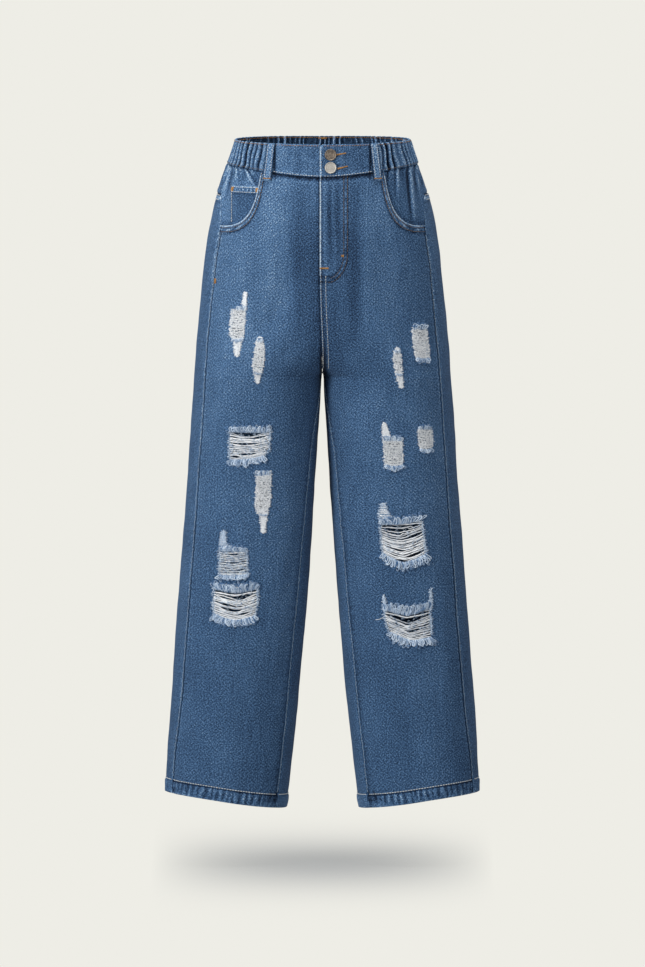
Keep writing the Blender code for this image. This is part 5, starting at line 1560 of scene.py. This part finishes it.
def finish_stitches():
    """Makes one piece of all the stitches of each thread."""
    for thread, rows in stitches.items():
        paths = np.concatenate([row[0] for row in rows])
        out = np.concatenate([row[1] for row in rows])
        radii = np.concatenate([row[2] for row in rows])
        shade = RNG.uniform(0.0, 0.45, len(paths))
        strands(f"{thread}_stitches", THREADS[thread], paths, out, radii, shade=shade)


def yarn_rows(name, rip):
    """White weft yarns across a rip: each one's level and its drops at shares across it. They
    lie in loose bundles, sag and lean, and part round the slits."""
    first, last = rip["rows"][0][0], rip["rows"][-1][0]
    count = int((last - first) / YARN_PITCH)
    share = np.linspace(0, 1, 24)[None, :]
    number = np.arange(count)[:, None]
    level = first + 0.0006 + (last - first - 0.0012) * number / (count - 1)
    level = level + YARN_PITCH * (0.34 * np.sin(2.7 * number) + RNG.uniform(-0.2, 0.2, level.shape))
    t = np.clip((level - rip["top"]) / (rip["foot"] - rip["top"]), 0, 1)
    loose = ease(t / rip["slack"])
    drop = level + loose * (sagged(rip, "yarn", share) * (1 - t) + sagged(rip, "hem", share) * t)
    for start, end, at, tall in GAPS.get(name, ()):
        centre = rip["top"] + at * (rip["foot"] - rip["top"])
        centre = centre + sagged(rip, "yarn", share) * (1 - at) + sagged(rip, "hem", share) * at
        bulge = np.sin(math.pi * np.clip((share - start) / (end - start), 0, 1)) ** 0.8
        away = drop - centre
        drop = drop + np.sign(away) * (tall / 2 + 0.0004) * bulge * np.exp(-np.abs(away) / 0.003)
    wobble = 0.00022 * np.sin(share * 19 + level * 4000) + 0.00016 * np.sin(share * 47 + level * 9000)
    return share, level, drop + wobble


def build_rip(name, rip, index):
    """The white yarns over a rip as one piece, and the curled frays round it as another."""
    side = rip["side"]
    share, level, drop = yarn_rows(name, rip)
    near, far = rip_edges(rip, level)
    over = RNG.uniform(-0.0004, 0.0014, level.shape)
    x = (near - over) + (far - near + 2 * over) * share
    turn = turn_at(x, drop)
    in_cut = ease((level - rip["top"]) / 0.002) * ease((rip["foot"] - level) / 0.002)
    tuck = np.abs(2 * share - 1) ** 8
    lift = front_lift(side, turn, drop) + 0.0004 - 0.0010 * in_cut * (1 - tuck)
    lift = lift + RNG.uniform(-0.0004, 0.0003, level.shape)
    paths, out = skin(side, turn, drop, lift)
    thick = YARN_PITCH * RNG.uniform(0.42, 0.60, level.shape)
    radii = thick * (1 - 0.35 * tuck) * (1 + 0.14 * np.sin(share * 60 + level * 5000))
    shade = RNG.uniform(0.20, 0.80, len(level))
    strands(f"weft_{name}", WEFT, paths, out, radii, [name], shade)
    build_frays(name, rip, index)


def petals(side, x, drop, way, length, width, lean, rise, bend):
    """Looped warp ends: each leaves the edge, swells to its width near the tip and comes back to
    its root. It leans, bends to one side and lifts off the cloth."""
    t = np.linspace(0, 1, 12)[None, :]
    along = length * np.sin(math.pi * t) ** 0.9
    across = 0.5 * width * np.sin(2 * math.pi * t) + bend * (along / length) ** 2
    forward = along * np.cos(lean) - across * np.sin(lean)
    sideways = along * np.sin(lean) + across * np.cos(lean)
    drops = drop + way * forward
    turns = turn_at(np.abs(x + sideways), drops)
    lift = front_lift(side, turns, drops) + 0.0006 + rise * np.sin(math.pi * t)
    return skin(side, turns, drops, lift + 0.0006 * np.sin(2 * math.pi * t))


def wisps(side, x, drop, length, lean, bend):
    """Loose fibres: short hairs that leave their root at a lean and bend to one side."""
    t = np.linspace(0, 1, 4)[None, :]
    forward, sideways = length * t * np.cos(lean), length * t * np.sin(lean) + bend * t * t
    drops = drop + forward
    turns = turn_at(np.abs(x + sideways), drops)
    lift = front_lift(side, turns, drops) + 0.0005 + 0.0008 * np.sin(math.pi * t)
    return skin(side, turns, drops, lift)


def build_frays(name, rip, index):
    """Looped ends of the cut warp along the upper edge and the foot of a rip in two layers, and
    loose fibres down its sides and over its worn ends."""
    side, rng = rip["side"], np.random.default_rng(100 + index)
    loops, fibres = [], []
    for way, edge, loop, key in (
        (-1, rip["top"], rip["loops"][0], "brow"), (1, rip["foot"], rip["loops"][1], "hem"),
    ):
        near, far = (float(v) for v in rip_edges(rip, edge))
        wide = PETAL_WIDTH * min(1, loop / 0.010)
        # The lower layer is darker, partly the blue of the warp and partly painted shade under the upper
        # layer
        for layer, (pale, reach) in enumerate(((-0.30, 1.0), (0.12, 0.82))):
            count = max(3, int((far - near) / (0.60 * wide)))
            share = (np.arange(count)[:, None] + rng.uniform(0.2, 0.8, (count, 1))) / count
            x = near + (far - near) * share
            drop = edge + sagged(rip, key, share) - way * 0.0012
            uneven = 0.84 + 0.16 * np.sin(share * 17 + index) * np.sin(share * 7 + 1)
            length = loop * reach * uneven * rng.uniform(0.8, 1.1, (count, 1))
            if way < 0:
                length = length + 0.8 * rip[key][0] * hang(rip, share)
            width = wide * rng.uniform(0.75, 1.15, (count, 1))
            lean = rng.normal(0, 0.26, (count, 1)) + (share - 0.5) * (0.9 if way > 0 else 0.4)
            bend = rng.normal(0, 0.25, (count, 1)) * length
            rise = rng.uniform(0.0002, 0.0016, (count, 1)) + 0.0008 * layer
            paths, out = petals(side, x, drop, way, length, width, lean, rise, bend)
            radius = PETAL_YARN * min(1, loop / 0.009) * rng.uniform(0.85, 1.2, (count, 1))
            loops.append((paths, out, radius + 0 * paths[..., 0], pale + rng.uniform(0, 0.45, count)))
    rows = np.array(rip["rows"])
    count = int((rows[-1, 0] - rows[0, 0]) / 0.0006)
    for far_side in (0, 1):
        drop = rng.uniform(rows[0, 0], rows[-1, 0], (count, 1))
        near, far = rip_edges(rip, drop)
        lean = (math.pi / 2 if far_side else -math.pi / 2) + rng.normal(0, 0.7, (count, 1))
        fibres.append(((far if far_side else near), drop, lean))
    area = float(np.trapz(rows[:, 2] - rows[:, 1], rows[:, 0]))
    count = int(rip["fuzz"] * area / FIBRE_AREA)
    drop = rng.uniform(rows[0, 0], rows[-1, 0], (count, 1))
    near, far = rip_edges(rip, drop)
    x = near + (far - near) * rng.uniform(0.0, 1.0, (count, 1))
    fibres.append((x, drop, rng.uniform(-math.pi, math.pi, (count, 1))))
    x, drop, lean = (np.concatenate(parts) for parts in zip(*fibres))
    small = rip["fuzz"] > 1
    length = rng.uniform(0.0012, 0.0024 if small else 0.0038, x.shape)
    paths, out = wisps(side, x, drop, length, lean, rng.normal(0, 0.001, x.shape))
    radii = rng.uniform(0.00029, 0.00046, x.shape) + 0 * paths[..., 0]
    shade = rng.uniform(0.0, 0.62, len(paths)) + 0.25 * small
    strands(f"fibres_{name}", WEFT if small else FRAY, paths, out, radii, shade=shade)
    paths, out, radii, shades = (np.concatenate(parts) for parts in zip(*loops))
    strands(f"frays_{name}", FRAY, paths, out, radii, shade=shades)


def build_tails():
    """Worn tails beside the rips, covered by short fibres, and one loose thread."""
    rng = np.random.default_rng(5)
    parts = []
    for row in TAILS:
        tail = dict(zip(TAIL_COLUMNS, row))
        share = rng.uniform(0, 1, (170, 1)) ** 0.7
        drop = tail["tip"] + (tail["foot"] - tail["tip"]) * share
        near, far = (tail["tip_x"] + (tail[edge] - tail["tip_x"]) * share for edge in ("near", "far"))
        x = near + (far - near) * rng.uniform(0, 1, share.shape)
        lean = rng.uniform(-math.pi, math.pi, share.shape)
        length = rng.uniform(0.0015, 0.0034, share.shape)
        parts.append(wisps(tail["side"], x, drop, length, lean, rng.normal(0, 0.001, share.shape)))
    paths, out = (np.concatenate(part) for part in zip(*parts))
    radii = rng.uniform(0.00034, 0.00052, (len(paths), 1)) + 0 * paths[..., 0]
    strands("worn_tails", FRAY, paths, out, radii, shade=rng.uniform(0.1, 0.6, len(paths)))
    t = np.linspace(0, 1, 12)[None, :]
    x, drop = 0.0780 + 0.0110 * t, 0.6995 - 0.0040 * t + 0.0012 * np.sin(math.pi * t)
    turn = turn_at(x, drop)
    path, out = skin(1, turn, drop, front_lift(1, turn, drop) + 0.0009)
    strands("loose_thread", WEFT, path, out, 0.0004 * np.ones(t.shape), shade=0.5)


def build_button(name, node, drop, material, slot, face):
    """Shank button turned from a profile: a raised rim round its ringed or domed face."""
    profile = np.array(BUTTON_EDGE + face)
    angle = np.linspace(0, 2 * math.pi, BUTTON_SIDES, endpoint=False)
    radius, height = profile[:, :1] * BUTTON_RADIUS, profile[:, 1:]
    local = np.stack([radius * np.cos(angle), radius * np.sin(angle), height + 0 * angle], axis=-1)
    turn = float(turn_at(BUTTON_X, drop))
    seat, out = skin(1, np.array([turn]), np.array([drop]), BAND_RISE + 0.0003)
    out = out[0]
    across = np.cross((0, 0, 1.0), out)
    across /= np.linalg.norm(across)
    verts = seat[0] + local.reshape(-1, 3) @ np.stack([across, np.cross(out, across), out])
    index = np.arange(local[..., 0].size).reshape(len(profile), BUTTON_SIDES)
    nxt = np.roll(index, -1, axis=1)
    quads = np.stack([index[:-1], nxt[:-1], nxt[1:], index[1:]], axis=-1).reshape(-1, 4)
    k = np.arange(BUTTON_SIDES // 2 - 1)
    closing = np.stack([k, k + 1, BUTTON_SIDES - 2 - k, BUTTON_SIDES - 1 - k], axis=-1)
    obj = link(name, verts, np.vstack([quads, index[-1][closing], index[0][closing[:, ::-1]]]))
    obj.data.set_sharp_from_angle(angle=math.radians(50))
    give(obj, verts[:, [0, 2]], fade=np.zeros(len(verts)))
    finish_piece(obj, material, slot, [node])


def build_buttonholes():
    """Satin-stitched buttonhole ends beside the buttons: threads packed across a short bar."""
    share, t = np.linspace(0, 1, 20)[:, None], np.linspace(-1, 1, 4)[None, :]
    for x0, x1, start, end in ((0.0200, 0.0337, 0.0222, 0.0198), (0.0218, 0.0362, 0.0424, 0.0388)):
        tall = 0.00231 * (1 - 0.55 * share)
        drops = start + (end - start) * share + tall * t / 2
        turns = turn_at(x0 + (x1 - x0) * share + 0.0002 * t, drops)
        paths, out = skin(1, turns, drops, BAND_RISE + 0.0004 + 0.0007 * (1 - t * t))
        stitches["gold"].append((paths, out, 0.00046 + 0 * drops))


def build_floor():
    """Floor card that shows only a painted soft round shadow under the jeans, which glows with its
    own colour rather than being lit: a bell in depth, level across, and clear outside."""
    angle = np.linspace(0, 2 * math.pi, 97)[:-1]
    radius = np.array([0.0001, 0.5, 1.0, 2.0, 3.0])[:, None]
    flat = FLOOR_Z + 0 * radius * angle
    verts = np.stack([radius * np.cos(angle), radius * np.sin(angle), flat], axis=-1)
    index = np.arange(flat.size).reshape(flat.shape)
    nxt = np.roll(index, -1, axis=1)
    quads = np.stack([index[:-1], index[1:], nxt[1:], nxt[:-1]], axis=-1).reshape(-1, 4)
    floor = link("floor", verts.reshape(-1, 3), quads)
    material, shader, add = new_material("painted_floor_shadow")
    axes = add("ShaderNodeSeparateXYZ", {0: add("ShaderNodeTexCoord").outputs["Object"]})
    deep = maths(add, "MULTIPLY", axes.outputs[1], 1 / FLOOR_SHADE_DEEP)
    fall = maths(add, "EXPONENT", maths(add, "MULTIPLY", maths(add, "MULTIPLY", deep, deep), -1.0))
    wide = maths(add, "ABSOLUTE", maths(add, "MULTIPLY", axes.outputs[0], 1 / FLOOR_SHADE_WIDE))
    across = maths(add, "SUBTRACT", 1.0, maths(add, "POWER", wide, 2.3), clamp=True)
    # Painted shadow: the card glows with the shadow's colour instead of taking the lamps' light
    wire(shader, {
        "Base Color": (0.1, 0.1, 0.1, 1), "Emission Color": (*PAINTED_FLOOR_SHADOW_COLOUR, 1),
        "Emission Strength": 1.0, "Roughness": 1.0, "Specular IOR Level": 0.0,
    })
    clear = add("ShaderNodeBsdfTransparent")
    shown = maths(add, "MULTIPLY", fall, across)
    mix = add("ShaderNodeMixShader", {"Fac": shown, 1: clear.outputs[0], 2: shader.outputs[0]})
    wire(material.node_tree.nodes["Material Output"], {"Surface": mix.outputs[0]})
    floor.data.materials.append(material)


def build_world():
    """The world: a soft white light, and the photo's plain ground where the camera sees it."""
    world = bpy.data.worlds.new("studio")
    bpy.context.scene.world = world
    world.use_nodes = True
    nodes, add = world.node_tree.nodes, adder(world.node_tree)
    light = nodes["Background"]
    wire(light, {"Color": (0.93, 0.95, 1.0, 1), "Strength": WORLD_LIGHT})
    seen = add("ShaderNodeBackground", {"Color": (*BACKGROUND, 1)})
    rays = add("ShaderNodeLightPath")
    ways = {"Fac": rays.outputs["Is Camera Ray"], 1: light.outputs[0], 2: seen.outputs[0]}
    wire(nodes["World Output"], {"Surface": add("ShaderNodeMixShader", ways).outputs[0]})


def build_lamps():
    """Soft area lamps, each turned from its place to its aim."""
    for name, place, aim, size, power in LAMPS:
        lamp = bpy.data.lights.new(name, "AREA")
        lamp.shape = "RECTANGLE"
        lamp.size, lamp.size_y = size
        lamp.energy = power
        obj = bpy.data.objects.new(name, lamp)
        obj.location = place
        x, y, z = np.array(aim) - np.array(place)
        obj.rotation_euler = (math.atan2(math.hypot(x, y), -z), 0, math.atan2(-x, y))
        bpy.context.scene.collection.objects.link(obj)


def build_camera():
    """The camera at the photo's angle."""
    camera = bpy.data.cameras.new("camera")
    camera.sensor_fit = "VERTICAL"
    camera.sensor_height = SENSOR
    camera.lens = CAMERA_DISTANCE * SENSOR / (PHOTO_HEIGHT * METRES_PER_PIXEL)
    camera.clip_end = 100.0
    obj = bpy.data.objects.new("camera", camera)
    away, rise = CAMERA_DISTANCE * math.cos(CAMERA_RISE), CAMERA_DISTANCE * math.sin(CAMERA_RISE)
    obj.location = (0, -away, CAMERA_AIM_Z + rise)
    obj.rotation_euler = (math.pi / 2 - CAMERA_RISE, 0, 0)
    bpy.context.scene.collection.objects.link(obj)
    bpy.context.scene.camera = obj
    bpy.context.scene.view_settings.view_transform = "Standard"


for side, word in ((1, "left"), (-1, "right")):
    build_front(side, word)
    build_back(side, word)
    build_yoke(side, word)
    build_facing(side, word)
    build_band_front(side, word)
    build_back_pocket(side, word)
    ahead = float(turn_at(LOOP_X + 0.001, 0.03))
    behind = float(turn_at(0.088, 0.03, front=False)) - 2 * math.pi
    build_loop(f"loop_front_{word}", f"belt_loop_front_{word}", side, ahead, False)
    build_loop(f"loop_back_{word}", f"belt_loop_back_{word}", side, behind, True)
build_loop("loop_centre", "belt_loop_centre", 1, -math.pi / 2, True)
build_band_elastic()
build_coin_pocket()
build_fly_facing()
sew_seams()
build_buttonholes()
for number, (rip_name, rip) in enumerate(RIPS.items()):
    build_rip(rip_name, rip, number)
build_tails()
build_button("upper_button", "button_upper", 0.0222, BRONZE, "bronze", RINGED_FACE)
build_button("lower_button", "button_lower", 0.0412, NICKEL, "nickel", DOMED_FACE)
finish_stitches()
build_floor()
build_world()
build_lamps()
build_camera()
